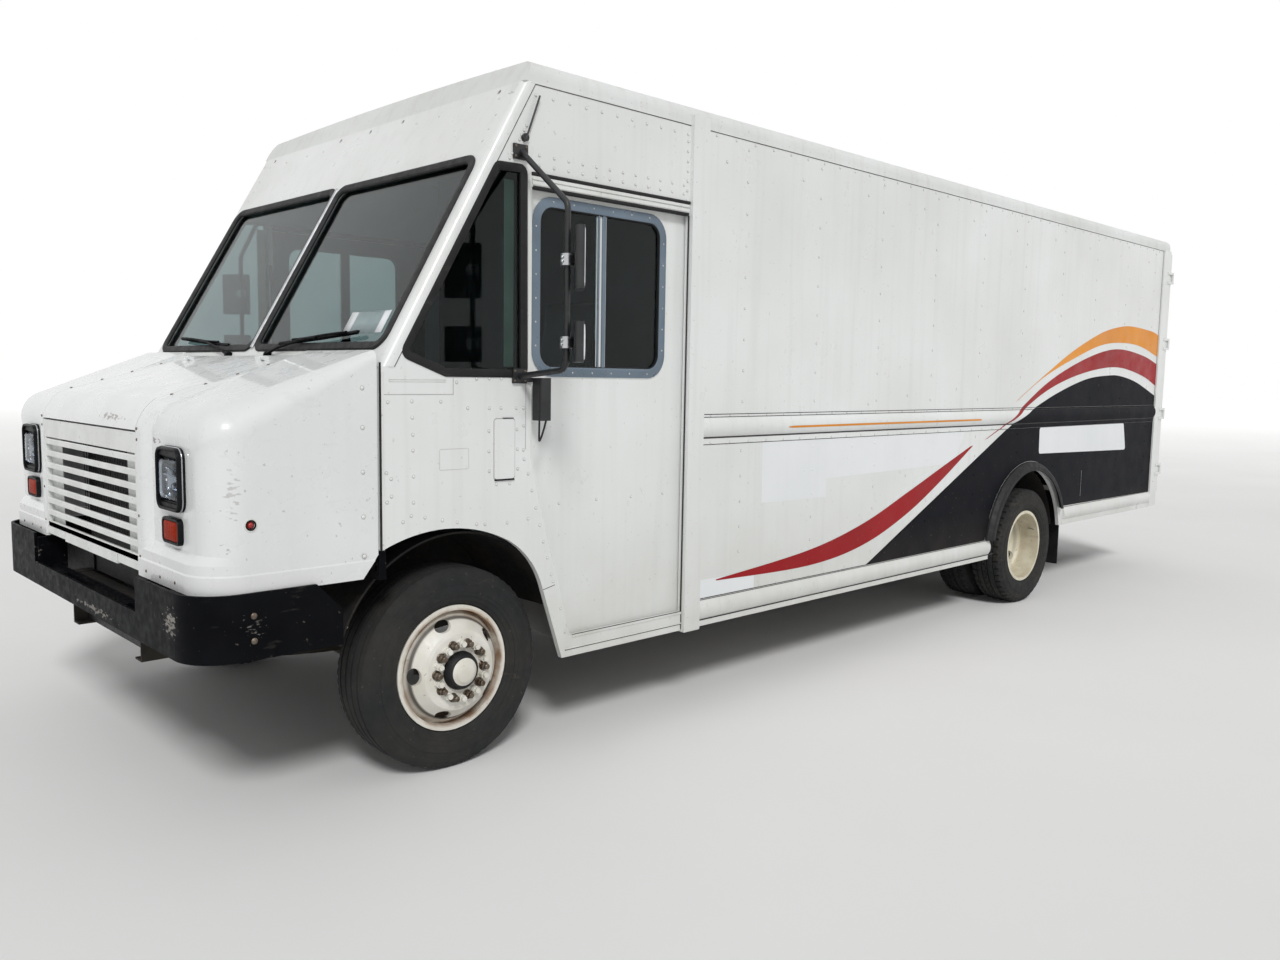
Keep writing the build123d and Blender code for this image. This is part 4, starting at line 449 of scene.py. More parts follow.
# %% A blank that collects points and faces
class Blank:
    """Points and faces of a piece in the making."""

    def __init__(self):
        self.points, self.faces = [], []

    def put(self, points, faces):
        start = len(self.points)
        self.points += [tuple(p) for p in points]
        self.faces += [tuple(start + i for i in face) for face in faces]

    def skin(self, rings, loop=False, open_rings=False, caps=True):
        """Skins rings of equal count, from the first to the last or all round."""
        count, rows = len(rings[0]), len(rings)
        faces = []
        for i in range(rows if loop else rows - 1):
            here, there = i * count, (i + 1) % rows * count
            for j in range(count - 1 if open_rings else count):
                k = (j + 1) % count
                faces.append((here + j, here + k, there + k, there + j))
        if caps and not loop and not open_rings:
            faces += [tuple(reversed(range(count))), tuple(range((rows - 1) * count, rows * count))]
        self.put([p for ring in rings for p in ring], faces)

    def block(self, x0, x1, y0, y1, z0, z1):
        """A square block between two corners; a bevel rounds it later."""
        base = [(x0, y0), (x1, y0), (x1, y1), (x0, y1)]
        self.skin([[(x, y, z) for x, y in base] for z in (z0, z1)])

    def slab(self, side, x0, x1, y0, y1, z0, z1):
        """A block on one side of the truck, its distances out from the middle."""
        self.block(*sorted((side * x0, side * x1)), y0, y1, z0, z1)


def settle(name, blank, material, body="chassis", bevel=0.0, smooth=35, stands_for=()):
    """Makes the piece: mesh, finish, rounded edges, and the body that it rides on."""
    mesh = bpy.data.meshes.new(name)
    mesh.from_pydata(blank.points, [], blank.faces)
    work = bmesh.new()
    work.from_mesh(mesh)
    bmesh.ops.recalc_face_normals(work, faces=work.faces)
    work.to_mesh(mesh)
    work.free()
    mesh.polygons.foreach_set("use_smooth", [True] * len(mesh.polygons))
    mesh.set_sharp_from_angle(angle=radians(smooth))
    mesh.materials.append(material)
    piece = bpy.data.objects.new(name, mesh)
    bpy.context.scene.collection.objects.link(piece)
    if bevel:
        rounding = piece.modifiers.new("rounded edges", "BEVEL")
        rounding.width, rounding.segments, rounding.limit_method = bevel, 2, "ANGLE"
    if stands_for:
        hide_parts(*stands_for)
    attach(piece, body)
    return piece


# %% Outlines, planes and sweeps
class Face:
    """A flat place on the truck: an origin, two directions along it and the way out of it."""

    def __init__(self, origin, along, up):
        self.origin, self.along, self.up = Vector(origin), Vector(along).normalized(), Vector(up).normalized()
        self.out = self.along.cross(self.up)

    def at(self, a, b, out=0.0):
        """The point so far along, up and out."""
        return self.origin + self.along * a + self.up * b + self.out * out


def circle(radius, sides):
    """Points round a circle, as pairs."""
    return [(radius * cos(2 * pi * s / sides), radius * sin(2 * pi * s / sides)) for s in range(sides)]


def rounded(corners, radius, steps=6):
    """A closed outline whose corners are turned by arcs."""
    outline = []
    for i, corner in enumerate(corners):
        here = Vector(corner)
        before = (Vector(corners[i - 1]) - here).normalized()
        after = (Vector(corners[(i + 1) % len(corners)]) - here).normalized()
        half = before.angle(after) / 2
        middle = here + (before + after).normalized() * radius / sin(half)
        first, last = (here + side * radius / tan(half) - middle for side in (before, after))
        a0, a1 = atan2(first.y, first.x), atan2(last.y, last.x)
        sweep = (a1 - a0 + pi) % (2 * pi) - pi
        outline += [tuple(middle + Vector((cos(a0 + sweep * s / steps), sin(a0 + sweep * s / steps))) * radius)
                    for s in range(steps + 1)]
    return outline


def box_outline(a0, a1, b0, b1, radius, steps=6):
    """A rounded rectangle."""
    return rounded([(a0, b0), (a1, b0), (a1, b1), (a0, b1)], radius, steps)


def surround(blank, face, outline, section):
    """Sweeps a section of (outwards, proud) points round a closed outline that runs anticlockwise."""
    rings = []
    for i, point in enumerate(outline):
        before, after = Vector(outline[i - 1]), Vector(outline[(i + 1) % len(outline)])
        run = (after - before).normalized()
        aside = Vector((run.y, -run.x))
        rings.append([face.at(point[0] + aside.x * o, point[1] + aside.y * o, h) for o, h in section])
    blank.skin(rings, loop=True)


def lathe(blank, profile, axle, side=1, sides=48):
    """Turns (across, radius) points about an axle at that place; side -1 makes the other hand."""
    rings = [[(side * x, axle + r * v, AXLE_HEIGHT + r * u) for x, r in profile] for u, v in circle(1, sides)]
    blank.skin(rings, loop=True, open_rings=True)


def dome(blank, place, out, radius, height, sides=8):
    """A domed rivet or bolt head standing on a surface."""
    place, out = Vector(place), Vector(out).normalized()
    a = out.orthogonal().normalized()
    b = out.cross(a)
    blank.skin([[place + out * (height * h) + (a * u + b * v) * radius * r for u, v in circle(1, sides)]
                for r, h in ((1.0, -0.2), (0.94, 0.35), (0.6, 0.85), (0.12, 1.0))])


def shadow_ring(blank, place, out, radius):
    """A thin grey ring of painted shadow round the foot of a rivet."""
    place, out = Vector(place), Vector(out).normalized()
    a = out.orthogonal().normalized()
    b = out.cross(a)
    blank.skin([[place + out * h + (a * u + b * v) * radius * r for u, v in circle(1, 8)]
                for r, h in ((1.2, -0.001), (1.18, 0.0004), (0.9, 0.0009))])


def rivet(heads, dirt, place, out, radius=0.0062, height=0.0048):
    """A domed rivet and its ring of painted shadow, on two blanks."""
    dome(heads, place, out, radius, height)
    shadow_ring(dirt, place, out, radius)


def tube(blank, points, radius, sides=10):
    """A round rod along a line of points, turned smoothly at each."""
    points = [Vector(p) for p in points]
    rings, aside = [], None
    for i, point in enumerate(points):
        run = (points[min(i + 1, len(points) - 1)] - points[max(i - 1, 0)]).normalized()
        aside = (aside - run * aside.dot(run)).normalized() if aside else run.orthogonal().normalized()
        other = run.cross(aside)
        rings.append([point + (aside * u + other * v) * radius for u, v in circle(1, sides)])
    blank.skin(rings)


def curved(points, steps=8):
    """A smooth line through points, by the Catmull-Rom rule."""
    points = [Vector(p) for p in points]
    line = []
    for i in range(len(points) - 1):
        p0, p1, p2, p3 = points[max(i - 1, 0)], points[i], points[i + 1], points[min(i + 2, len(points) - 1)]
        for s in range(steps):
            t = s / steps
            line.append(0.5 * (2 * p1 + (p2 - p0) * t + (2 * p0 - 5 * p1 + 4 * p2 - p3) * t * t
                               + (3 * p1 - p0 - 3 * p2 + p3) * t ** 3))
    return [tuple(p) for p in line + [points[-1]]]


print("helpers ready")

# %% [markdown]
# A truck tyre could be a torus with a tread picture, but the tread is what makes it read as a tyre. So
# its section is turned in 192 steps, and each point of the tread is sunk where a groove or a shoulder
# slot passes. The front pair has straight ribs and small slots; the driven rear tyres have deep lugs.

# %% Tyres with tread
TYRE_STEPS = 192
SIDEWALL = [(0.0885, 0.249), (0.0895, 0.262), (0.096, 0.266), (0.1, 0.2665), (0.108, 0.28), (0.1105, 0.281),
            (0.1155, 0.3), (0.1182, 0.301), (0.1205, 0.318), (0.122, 0.319), (0.122, 0.346), (0.1195, 0.3475),
            (0.1175, 0.364), (0.1185, 0.3655), (0.1145, 0.381), (0.1148, 0.3835), (0.1085, 0.398),
            (0.1015, 0.4085)]
TREAD = [0.094, 0.088, 0.079, 0.069, 0.067, 0.060, 0.058, 0.048, 0.035, 0.026, 0.024, 0.017, 0.015, 0.006]
GROOVES = [(0.0585, 0.0685), (0.0155, 0.0255)]


def tread_radius(across, step, lugs):
    """The tread's radius at a place across the tyre and a step round it."""
    place = abs(across)
    radius = AXLE_HEIGHT - 0.004 * (place / 0.098) ** 2
    in_slot = (step + (2 if across > 0 else 0)) % (4 if lugs else 3) == 0
    if any(low < place < high for low, high in GROOVES):
        return radius - 0.011
    if lugs and in_slot and (place > 0.05 or place < 0.012):
        return radius - 0.012
    if not lugs and in_slot and place > 0.078:
        return radius - 0.003
    return radius


def tyre(blank, centre, axle, lugs):
    """One tyre about its centre, with its tread cut in."""
    across = [-x for x in TREAD] + TREAD[::-1]
    rings = []
    for step in range(TYRE_STEPS):
        a = 2 * pi * step / TYRE_STEPS
        wall = 0.006 if lugs and step % 4 == 0 else 0.0
        outer = [(x - (wall if r > 0.39 else 0), r - (wall if r > 0.39 else 0)) for x, r in SIDEWALL]
        tread = [(x, tread_radius(x, step, lugs)) for x in across]
        profile = [(-x, r) for x, r in outer] + tread + outer[::-1]
        rings.append([(centre + x, axle + r * sin(a), AXLE_HEIGHT + r * cos(a)) for x, r in profile])
    blank.skin(rings, loop=True, open_rings=True)


AXLES = (("front", FRONT_AXLE, (1.005,), False), ("rear", REAR_AXLE, (1.082, 0.796), True))
WHEELS = [(end, hand, side, axle, centres, lugs) for end, axle, centres, lugs in AXLES for side, hand in SIDES]
for end, hand, side, axle, centres, lugs in WHEELS:
    blank = Blank()
    for centre in centres:
        tyre(blank, side * centre, axle, lugs)
    settle(f"tread_{end}_{hand}", blank, tyre_rubber, f"wheel_{end}_{hand}", smooth=28,
           stands_for=(f"tyre_{end}_{hand}",))
    print("tyre", end, hand, len(blank.faces), "faces")

# %% [markdown]
# Ten flanged nuts hold each wheel. The solid has plain hexagons there, so each nut gets a turned
# washer, a chamfered hexagon and the stud's end, in rusty steel. Around the front hub lies a black
# ring with a pale grease cap in it; the rear hub is a plain drum with a flange.

# %% Wheel nuts, hubs and valves
STUDS, STUD_CIRCLE = 10, 0.1125
WHEEL_FACE, STUD_END = {"front": 1.148, "rear": 0.950}, {"front": 0.0375, "rear": 0.0415}
for end, hand, side, axle, centres, lugs in WHEELS:
    face, reach = WHEEL_FACE[end], STUD_END[end]
    blank = Blank()
    for aside, up in circle(STUD_CIRCLE, STUDS):
        y, z = axle + aside, AXLE_HEIGHT + up
        for profile, sides in (([(0.0, 0.0195), (0.004, 0.0195), (0.006, 0.0175)], 16),
                               ([(0.004, 0.0168), (0.021, 0.0168), (0.0245, 0.0142)], 6),
                               ([(0.02, 0.0115), (reach - 0.002, 0.0115), (reach, 0.0095)], 12)):
            blank.skin([[(side * (face + x), y + u, z + v) for u, v in circle(r, sides)] for x, r in profile])
    settle(f"wheel_nuts_{end}_{hand}", blank, nut_steel, f"wheel_{end}_{hand}", smooth=30)
    blank = Blank()
    if end == "front":
        lathe(blank, [(1.1485, 0.0735), (1.1485, 0.079), (1.1575, 0.079), (1.163, 0.0755), (1.1725, 0.0735),
                      (1.1835, 0.064), (1.185, 0.045), (1.182, 0.042)], axle, side)
    else:
        lathe(blank, [(0.9505, 0.0935), (0.9505, 0.106), (0.962, 0.106), (0.966, 0.0945), (1.0115, 0.0945),
                      (1.0255, 0.086), (1.0255, 0.03)], axle, side)
    settle(f"hub_ring_{end}_{hand}", blank, trim_rubber if end == "front" else chassis_black,
           f"wheel_{end}_{hand}")
    if end == "front":
        blank = Blank()
        lathe(blank, [(1.1835, 0.0445), (1.1945, 0.0435), (1.1985, 0.036), (1.2005, 0.02), (1.2008, 0.0005)],
              axle, side, 32)
        settle(f"grease_cap_{hand}", blank, wheel_paints["front"], f"wheel_{end}_{hand}")
    blank = Blank()
    rim_x = centres[0] + 0.06
    tube(blank, [(side * (rim_x - 0.03), axle + 0.2, AXLE_HEIGHT + 0.105),
                 (side * rim_x, axle + 0.196, AXLE_HEIGHT + 0.103),
                 (side * (rim_x + 0.025), axle + 0.188, AXLE_HEIGHT + 0.099)], 0.0045)
    settle(f"valve_{end}_{hand}", blank, bright_steel, f"wheel_{end}_{hand}")
print("wheels dressed")

# %% [markdown]
# The headlamp sits in a black bezel with a thin bright bead round it and dark steps above and below
# the lens. Behind the lens is a mirrored bowl with a bulb cap. A bowl could be half a sphere, but a
# rectangular lamp needs its outline to shrink as it goes back, so the same rounded outline is scaled
# ring by ring, for the lens as well.

# %% Headlamps
chrome_bowl = finish("chrome bowl", tone(150, 158, 168), tone(128, 136, 148), rough=0.16, rough_spread=0.04,
                     patch=12, grain=16, bump=0.06, Metallic=1.0)
lamp_plastic = finish("lamp plastic", tone(16, 17, 19), tone(24, 25, 27), rough=0.4, patch=12, grain=160,
                      bump=0.1, Specular_IOR_Level=0.1)


def stack(blank, face, outline, layers):
    """Scales an outline about its middle and moves it out or in, layer by layer, then closes the end."""
    x, y = Vector((sum(a for a, _ in outline), sum(b for _, b in outline))) / len(outline)
    rings = [[face.at(x + (a - x) * scale, y + (b - y) * scale, out) for a, b in outline]
             for scale, out in layers]
    blank.skin(rings, caps=False)
    blank.put(rings[-1], [tuple(range(len(outline)))])


HEADLAMP_X, HEADLAMP_Z = 0.880, 1.237
BEZEL = box_outline(-0.106, 0.106, -0.112, 0.112, 0.04)
for side, hand in SIDES:
    lamp_face = Face((side * HEADLAMP_X, LAMP_FACE, HEADLAMP_Z), (1, 0, 0), (0, 0, 1))
    blank = Blank()
    surround(blank, lamp_face, BEZEL,
             [(0.0, -0.004), (0.0, 0.018), (-0.003, 0.027), (-0.008, 0.028), (-0.012, 0.024), (-0.012, 0.001)])
    settle(f"lamp_bezel_{hand}", blank, lamp_plastic, stands_for=("headlamps",))
    blank = Blank()
    surround(blank, lamp_face, BEZEL, [(-0.001, 0.009), (0.0022, 0.0095), (0.0022, 0.0135), (-0.001, 0.014)])
    settle(f"lamp_bead_{hand}", blank, bright_steel)
    blank = Blank()
    for low, high in ((0.069, 0.098), (-0.1, -0.073)):
        for step, out in ((0.0, 0.004), (0.006, 0.011), (0.012, 0.018)):
            shelf = box_outline(-0.094, 0.094, low + (step if low > 0 else 0), high - (0 if low > 0 else step),
                                0.005, 3)
            stack(blank, lamp_face, shelf, [(1.0, -0.001), (1.0, out - 0.001), (0.99, out)])
    settle(f"lamp_shelves_{hand}", blank, lamp_plastic)
    blank = Blank()
    bowl = box_outline(-0.093, 0.093, -0.072, 0.068, 0.02)
    stack(blank, lamp_face, bowl, [(1.0, 0.016), (0.92, 0.006), (0.76, 0.0012), (0.72, -0.012), (0.6, -0.034),
                                   (0.36, -0.05), (0.12, -0.055)])
    stack(blank, lamp_face, box_outline(-0.06, 0.06, 0.01, 0.016, 0.002, 2), [(1.0, -0.045), (1.0, -0.004)])
    dome(blank, lamp_face.at(0, -0.03, -0.045), lamp_face.out, 0.019, 0.03, 14)
    settle(f"lamp_bowl_{hand}", blank, chrome_bowl)
    blank = Blank()
    stack(blank, lamp_face, bowl, [(1.01, 0.014), (1.0, 0.019), (0.93, 0.0225), (0.7, 0.0248), (0.35, 0.0256),
                                   (0.06, 0.0258)])
    settle(f"lamp_lens_{hand}", blank, lamp_glass, smooth=60)
print("headlamps made")

# %% [markdown]
# The turn lamps are ribbed amber-red plastic. The ribs are far finer than the outline, so their shade is
# painted as a wave of darker bands in the material's colour, while the crowned lens and its black frame
# are modelled. The tail lamps share the recipe, and a side marker is a small dome in a white ring with a
# dark rim.

# %% Turn, marker and tail lamps
def ribs(axis, spacing, dark):
    """Ribs along an axis of the lens, their shade painted in the colour as darker bands."""
    def paint_over(tree, place, paint):
        wave = node(tree, "TexWave", {"Vector": place, "Scale": 0.314 / spacing, "Distortion": 0.0},
                    bands_direction=axis)
        # The ribs' shade is painted as darker bands in the lens colour.
        return mix(tree, spread(tree, wave.outputs["Fac"], 0.2, 0.8, 0.55, 0), paint, dark)
    return paint_over


amber_lens = finish("amber lens", tone(172, 48, 10), tone(156, 40, 8), rough=0.3, patch=20, grain=40, bump=0.1,
                    extra=ribs("X", 0.016, tone(84, 18, 5)), Specular_IOR_Level=0.02)
red_lens = finish("red lens", tone(164, 22, 16), tone(134, 14, 12), rough=0.18, patch=20, grain=40, bump=0.2,
                  Coat_Weight=0.3)
TURN_X, TURN_Z, MARKER_BACK, MARKER_Z = 0.878, 1.054, 0.136, 1.096
for side, hand in SIDES:
    lamp_face = Face((side * TURN_X, LAMP_FACE, TURN_Z), (1, 0, 0), (0, 0, 1))
    blank = Blank()
    surround(blank, lamp_face, box_outline(-0.078, 0.078, -0.047, 0.047, 0.022),
             [(0.0, -0.003), (0.0, 0.014), (-0.002, 0.019), (-0.009, 0.0195), (-0.012, 0.015), (-0.012, 0.001)])
    settle(f"turn_frame_{hand}", blank, lamp_plastic, stands_for=("signal_lamps",))
    blank = Blank()
    stack(blank, lamp_face, box_outline(-0.0665, 0.0665, -0.0355, 0.0355, 0.014),
          [(1.0, 0.0005), (1.0, 0.0135), (0.95, 0.0175), (0.8, 0.0195), (0.4, 0.0205), (0.05, 0.0207)])
    settle(f"turn_lens_{hand}", blank, amber_lens)
    marker = Vector((side * HALF, LAMP_FACE + MARKER_BACK, MARKER_Z))
    for label, radius, low, high, material in (("ring", 0.024, -0.002, 0.0022, rail_paint),
                                               ("rim", 0.019, 0.0, 0.0035, lamp_plastic)):
        blank = Blank()
        steps = ((low, radius), (high, radius * 0.96), (high + 0.0006, radius * 0.8), (low, radius * 0.74))
        blank.skin([[marker + Vector((side * x, u, v)) for u, v in circle(r, 24)] for x, r in steps],
                   caps=False)
        settle(f"marker_{label}_{hand}", blank, material)
    blank = Blank()
    dome(blank, marker - Vector((side * 0.012, 0, 0)), (side, 0, 0), 0.0138, 0.018, 20)
    settle(f"marker_lens_{hand}", blank, red_lens, smooth=60)
    tail_face = Face((side * 1.138, station(8570), 0.596), (-1, 0, 0), (0, 0, 1))
    outer = box_outline(-0.036, 0.036, -0.046, 0.046, 0.024)
    blank = Blank()
    surround(blank, tail_face, outer, [(0.0, 0.0), (0.0, 0.016), (-0.003, 0.019), (-0.007, 0.018),
                                       (-0.008, 0.0)])
    settle(f"tail_frame_{hand}", blank, lamp_plastic)
    blank = Blank()
    stack(blank, tail_face, box_outline(-0.0295, 0.0295, -0.0395, 0.0395, 0.018),
          [(1.0, 0.0), (1.0, 0.017), (0.92, 0.0225), (0.6, 0.0238), (0.06, 0.0239)])
    settle(f"tail_lens_{hand}", blank, red_lens)
print("signal lamps made")

# %% [markdown]
# The windscreen is two panes in black rubber, with a bright strip down the middle. A rubber section
# swept round each pane is how the real gasket is made, so the same is done here: an outline on the
# raked plane of the screen, and one soft section carried round it.

# %% Windscreen rubber and middle strip
RAKE = 0.572
slope = hypot(1, RAKE)
screen = Face((0, SCREEN_BASE, SCREEN_FOOT), (1, 0, 0), (0, RAKE / slope, 1 / slope))
GASKET = [(0.021, -0.003), (0.022, 0.004), (0.017, 0.009), (0.004, 0.0095), (-0.012, 0.007), (-0.017, 0.0015),
          (-0.016, -0.006), (0.0, -0.006)]
blank = Blank()
for side in (1, -1):
    low, high = sorted((side * 0.022, side * 1.114))
    surround(blank, screen, box_outline(low, high, 0.092, 0.952, 0.055, 8), GASKET)
settle("windscreen_rubber", blank, trim_rubber)
blank = Blank()
strip = [(-0.011, 0.008), (-0.009, 0.0125), (0.0, 0.0145), (0.009, 0.0125), (0.011, 0.008)]
blank.skin([[screen.at(a, b, h) for a, h in strip] for b in (0.088, 0.3, 0.6, 0.956)])
settle("screen_middle_strip", blank, bright_steel)
print("windscreen rubber", len(blank.faces))

# %% [markdown]
# The wipers rest along the foot of the glass with their blades pointing outwards. Each has a pivot
# cap, a flat sprung arm, a bridge and a long rubber blade, all as swept rods and small blocks.

# %% Wipers
PIVOT_X, PIVOT_UP = 0.207, 0.046
ARM = [(0, PIVOT_UP, 0.016), (0.11, 0.075, 0.024), (0.30, 0.112, 0.026), (0.40, 0.122, 0.020)]
BRIDGE = [(0.18, 0.118, 0.015), (0.30, 0.118, 0.022), (0.50, 0.134, 0.022), (0.62, 0.146, 0.015)]
RUBBER = [(-0.008, 0.003), (0.008, 0.003), (0.005, 0.013), (-0.005, 0.013)]
for side, hand in SIDES:
    blank = Blank()
    pivot = side * PIVOT_X
    dome(blank, screen.at(pivot, PIVOT_UP, -0.004), screen.out, 0.021, 0.03, 16)
    for line, radius in ((ARM, 0.006), (BRIDGE, 0.005)):
        tube(blank, [screen.at(pivot + side * a, b, out) for a, b, out in line], radius)
    blank.skin([[screen.at(pivot + side * a, b + up, out) for up, out in RUBBER]
                for a, b in ((0.06, 0.104), (0.2, 0.112), (0.4, 0.126), (0.70, 0.15))])
    settle(f"wiper_{hand}", blank, bumper_black,
           stands_for=("wipers",) if side == 1 else ())
print("wipers made")

# %% [markdown]
# A label is stuck in the lower corner of the left pane. It is left blank: a thin sheet with a slight
# bow, as such a label has once its edges lift.

# %% Blank label on the windscreen
CARD_WIDE, CARD_BOW = 0.304, 0.003
card_face = Face(screen.at(0.886, 0.208, -0.0125), screen.along, screen.up)
blank = Blank()
blank.skin([[card_face.at(CARD_WIDE * (i / 6 - 0.5), b, -CARD_BOW * cos(pi * (i / 6 - 0.5))) for i in range(7)]
            for b in (-0.05, 0.0, 0.05)], open_rings=True)
card_stock = finish("card", tone(236, 238, 240), tone(226, 230, 234), rough=0.6, patch=20, grain=200, bump=0.1)
card = settle("blank_card", blank, card_stock)
thick = card.modifiers.new("thickness", "SOLIDIFY")
thick.thickness = 0.001
print("card placed")

# %% [markdown]
# Side windows next. The fixed quarter window has wide black rubber, a pale green strip behind its rear
# edge and a narrow white post beside it. The sliding door's window sits in a blue-grey alloy frame
# with screws all round, and a channel of the same alloy parts its two panes. The door passes 5.5 mm
# inside the body side, so the frame and its screws stand less than 5 mm proud of the door.

# %% Quarter windows
QUARTER = [(station(1368), 1.621), (station(1363), 2.446), (station(1230), 2.441), (station(801), 1.691),
           (station(989), 1.621)]
green_strip = finish("green strip", tone(150, 170, 150), tone(138, 158, 140), rough=0.5, patch=6, grain=80,
                     bump=0.1)
for side, hand in SIDES:
    wall = Face((side * HALF, 0, 0), (0, side, 0), (0, 0, 1))
    outline = rounded([(side * y, z) for y, z in QUARTER], 0.022, 4)
    if sum(a[0] * b[1] - b[0] * a[1] for a, b in zip(outline, outline[1:] + outline[:1])) < 0:
        outline.reverse()
    blank = Blank()
    surround(blank, wall, outline, [(0.016, -0.002), (0.016, 0.003), (0.011, 0.0055), (-0.008, 0.005),
                                    (-0.018, 0.0), (-0.018, -0.013), (0.0, -0.013)])
    settle(f"quarter_rubber_{hand}", blank, trim_rubber)
    blank = Blank()
    blank.slab(side, HALF - 0.039, HALF - 0.036, station(1290), station(1338), 1.65, 2.40)
    settle(f"green_strip_{hand}", blank, green_strip, bevel=0.001)
    blank = Blank()
    blank.slab(side, HALF - 0.002, HALF + 0.003, station(1386), station(1401), 1.6, 2.40)
    settle(f"door_post_strip_{hand}", blank, rail_paint, bevel=0.0015)
print("quarter windows done")

# %% Door windows
DOOR_FACE = 1.157
for side, hand in SIDES:
    door_skin = side * DOOR_FACE
    wall = Face((door_skin, 0, 0), (0, side, 0), (0, 0, 1))
    low, high = sorted((side * station(1467), side * station(2180)))
    hole = box_outline(low, high, 1.648, 2.320, 0.07, 8)
    blank = Blank()
    surround(blank, wall, hole, [(0.0375, -0.001), (0.0375, 0.0022), (0.034, 0.0032), (0.006, 0.0032),
                                 (0.0, 0.0046), (-0.004, 0.003), (-0.004, -0.012), (0.0, -0.012)])
    settle(f"window_frame_{hand}", blank, window_alloy, f"cab_door_{hand}")
    blank = Blank()
    surround(blank, wall, hole, [(-0.003, -0.002), (-0.0035, 0.001), (-0.009, 0.0), (-0.0095, -0.010),
                                 (-0.004, -0.012)])
    settle(f"window_seal_{hand}", blank, trim_rubber, f"cab_door_{hand}")
    blank = Blank()
    screws = [(1540 + i * 113, z) for i in range(6) for z in (1.629, 2.339)]
    screws += [(y, 1.74 + i * 0.098) for i in range(6) for y in (1448, 2199)]
    for y, z in screws:
        dome(blank, (door_skin + side * 0.003, station(y), z), (side, 0, 0), 0.0045, 0.0018)
    settle(f"frame_screws_{hand}", blank, bright_steel, f"cab_door_{hand}")
    blank = Blank()
    for y0, y1 in ((1796, 1806), (1822, 1842)):
        blank.slab(side, 1.146, 1.1575, station(y0), station(y1), 1.652, 2.316)
    settle(f"window_channel_{hand}", blank, window_alloy, f"cab_door_{hand}", bevel=0.002)
print("door windows done")

# %% [markdown]
# The sliding door runs inside the body side. Above it are the two dark covers of its track with a drip
# rail, below it a kick strip with rivets, and a dark sealing lip shows in the gap behind it. All of
# them are straight bars, so a table gives their corners and one function makes them.

# %% Door track covers, sill strips and door rivets
def strips(name, side, bars, material, bevel=0.0):
    """Bars on one body side: in and out from it, back of the bumper in millimetres, and heights."""
    blank = Blank()
    for x0, x1, y0, y1, z0, z1 in bars:
        blank.slab(side, HALF + x0, HALF + x1, station(y0), station(y1), z0, z1)
    return settle(name, blank, material, bevel=bevel)


TRACK_COVERS = [(-0.002, 0.010, 1400, 2338, 2.424, 2.438), (-0.022, 0.0015, 1408, 2338, 2.372, 2.386)]
DRIP_RAIL = [(-0.001, 0.005, 1404, 2338, 2.388, 2.405), (-0.001, 0.007, 1402, 2338, 2.408, 2.423)]
SILL_STRIP = [(-0.001, 0.003, 1640, 2338, 0.466, 0.478), (-0.001, 0.004, 1600, 2338, 0.418, 0.424)]
DOOR_SEAMS = [(-0.0005, 0.0012, 1640, 2338, 0.4785, 0.4815), (-0.0005, 0.0012, 1600, 2338, 0.4145, 0.4178),
              (-0.004, 0.0008, 2334, 2340.5, 0.39, 2.372)]
for side, hand in SIDES:
    strips(f"track_covers_{hand}", side, TRACK_COVERS, trim_rubber, 0.003)
    strips(f"drip_rail_{hand}", side, DRIP_RAIL, rail_paint, 0.002)
    strips(f"sill_strip_{hand}", side, SILL_STRIP, rail_paint, 0.0015)
    strips(f"door_seams_{hand}", side, DOOR_SEAMS, sealant_and_shadow)
    blank = Blank()
    for y in (1660, 1717, 1862, 2010, 2150, 2289):
        dome(blank, (side * (HALF + 0.003), station(y), 0.472), (side, 0, 0), 0.005, 0.003)
    settle(f"sill_rivets_{hand}", blank, rail_paint)
    blank, dirt = Blank(), Blank()
    for y, z in ((1587, 1.064), (1805, 1.066), (2018, 1.064), (2227, 1.065)):
        rivet(blank, dirt, (side * 1.154, station(y), z), (side, 0, 0))
    settle(f"door_rivets_{hand}", blank, rail_paint, f"cab_door_{hand}")
    settle(f"door_rivet_dirt_{hand}", dirt, rivet_shadow_and_seam_grey, f"cab_door_{hand}")
print("doors dressed")

# %% [markdown]
# Aluminium bodies are held by hundreds of domed rivets, which catch the light in rows. Each rivet is a
# small stack of rings with a grey ring of painted shadow round its foot, and the rows come from short
# tables of stations and heights read off the truck. The pressed bars, joints and seams of the cab's side
# are thin strips laid on it in the same step, with a black strip of painted shade on the firewall's edge.

# %% Rivets and lines on the cab
CAB_RIVETS = [(734, 1.509), (836, 1.511), (965, 1.509), (1089, 1.483), (1193, 1.482), (1251, 1.482),
              (1327, 1.481), (1364, 1.481), (1037, 1.584), (1131, 1.599), (1192, 1.600), (1251, 1.601),
              (838, 1.45), (840, 1.385), (840, 1.325), (842, 1.226), (841, 1.126), (831, 1.076), (726, 1.246),
              (746, 1.222), (747, 1.156), (728, 1.135), (795, 1.055), (892, 1.064), (970, 1.047), (1039, 1.033),
              (1132, 1.017), (1173, 1.013), (1284, 1.01), (1392, 1.017), (1366, 1.408), (1366, 1.307),
              (1370, 1.268), (1392, 1.207), (1412, 1.135), (1433, 1.06), (1455, 0.984), (1474, 0.911),
              (1497, 0.84), (1519, 0.764), (1530, 0.732), (1574, 0.607), (1600, 0.498), (1191, 1.39),
              (1191, 1.308), (1193, 1.228), (1332, 1.393), (1335, 1.312), (1337, 1.23), (1228, 1.173),
              (1296, 1.172)]
CAB_RIVETS += [(s, z) for s in range(1440, 2320, 78) for z in (2.468, 2.508)]
CAB_RIVETS += [(s, 2.742) for s in range(1420, 2330, 90)] + [(2322, 2.44 + 0.045 * i) for i in range(7)]
CAB_RIVETS += [(1290 + 12 * i, 2.475 + 0.02 * i) for i in range(8)]
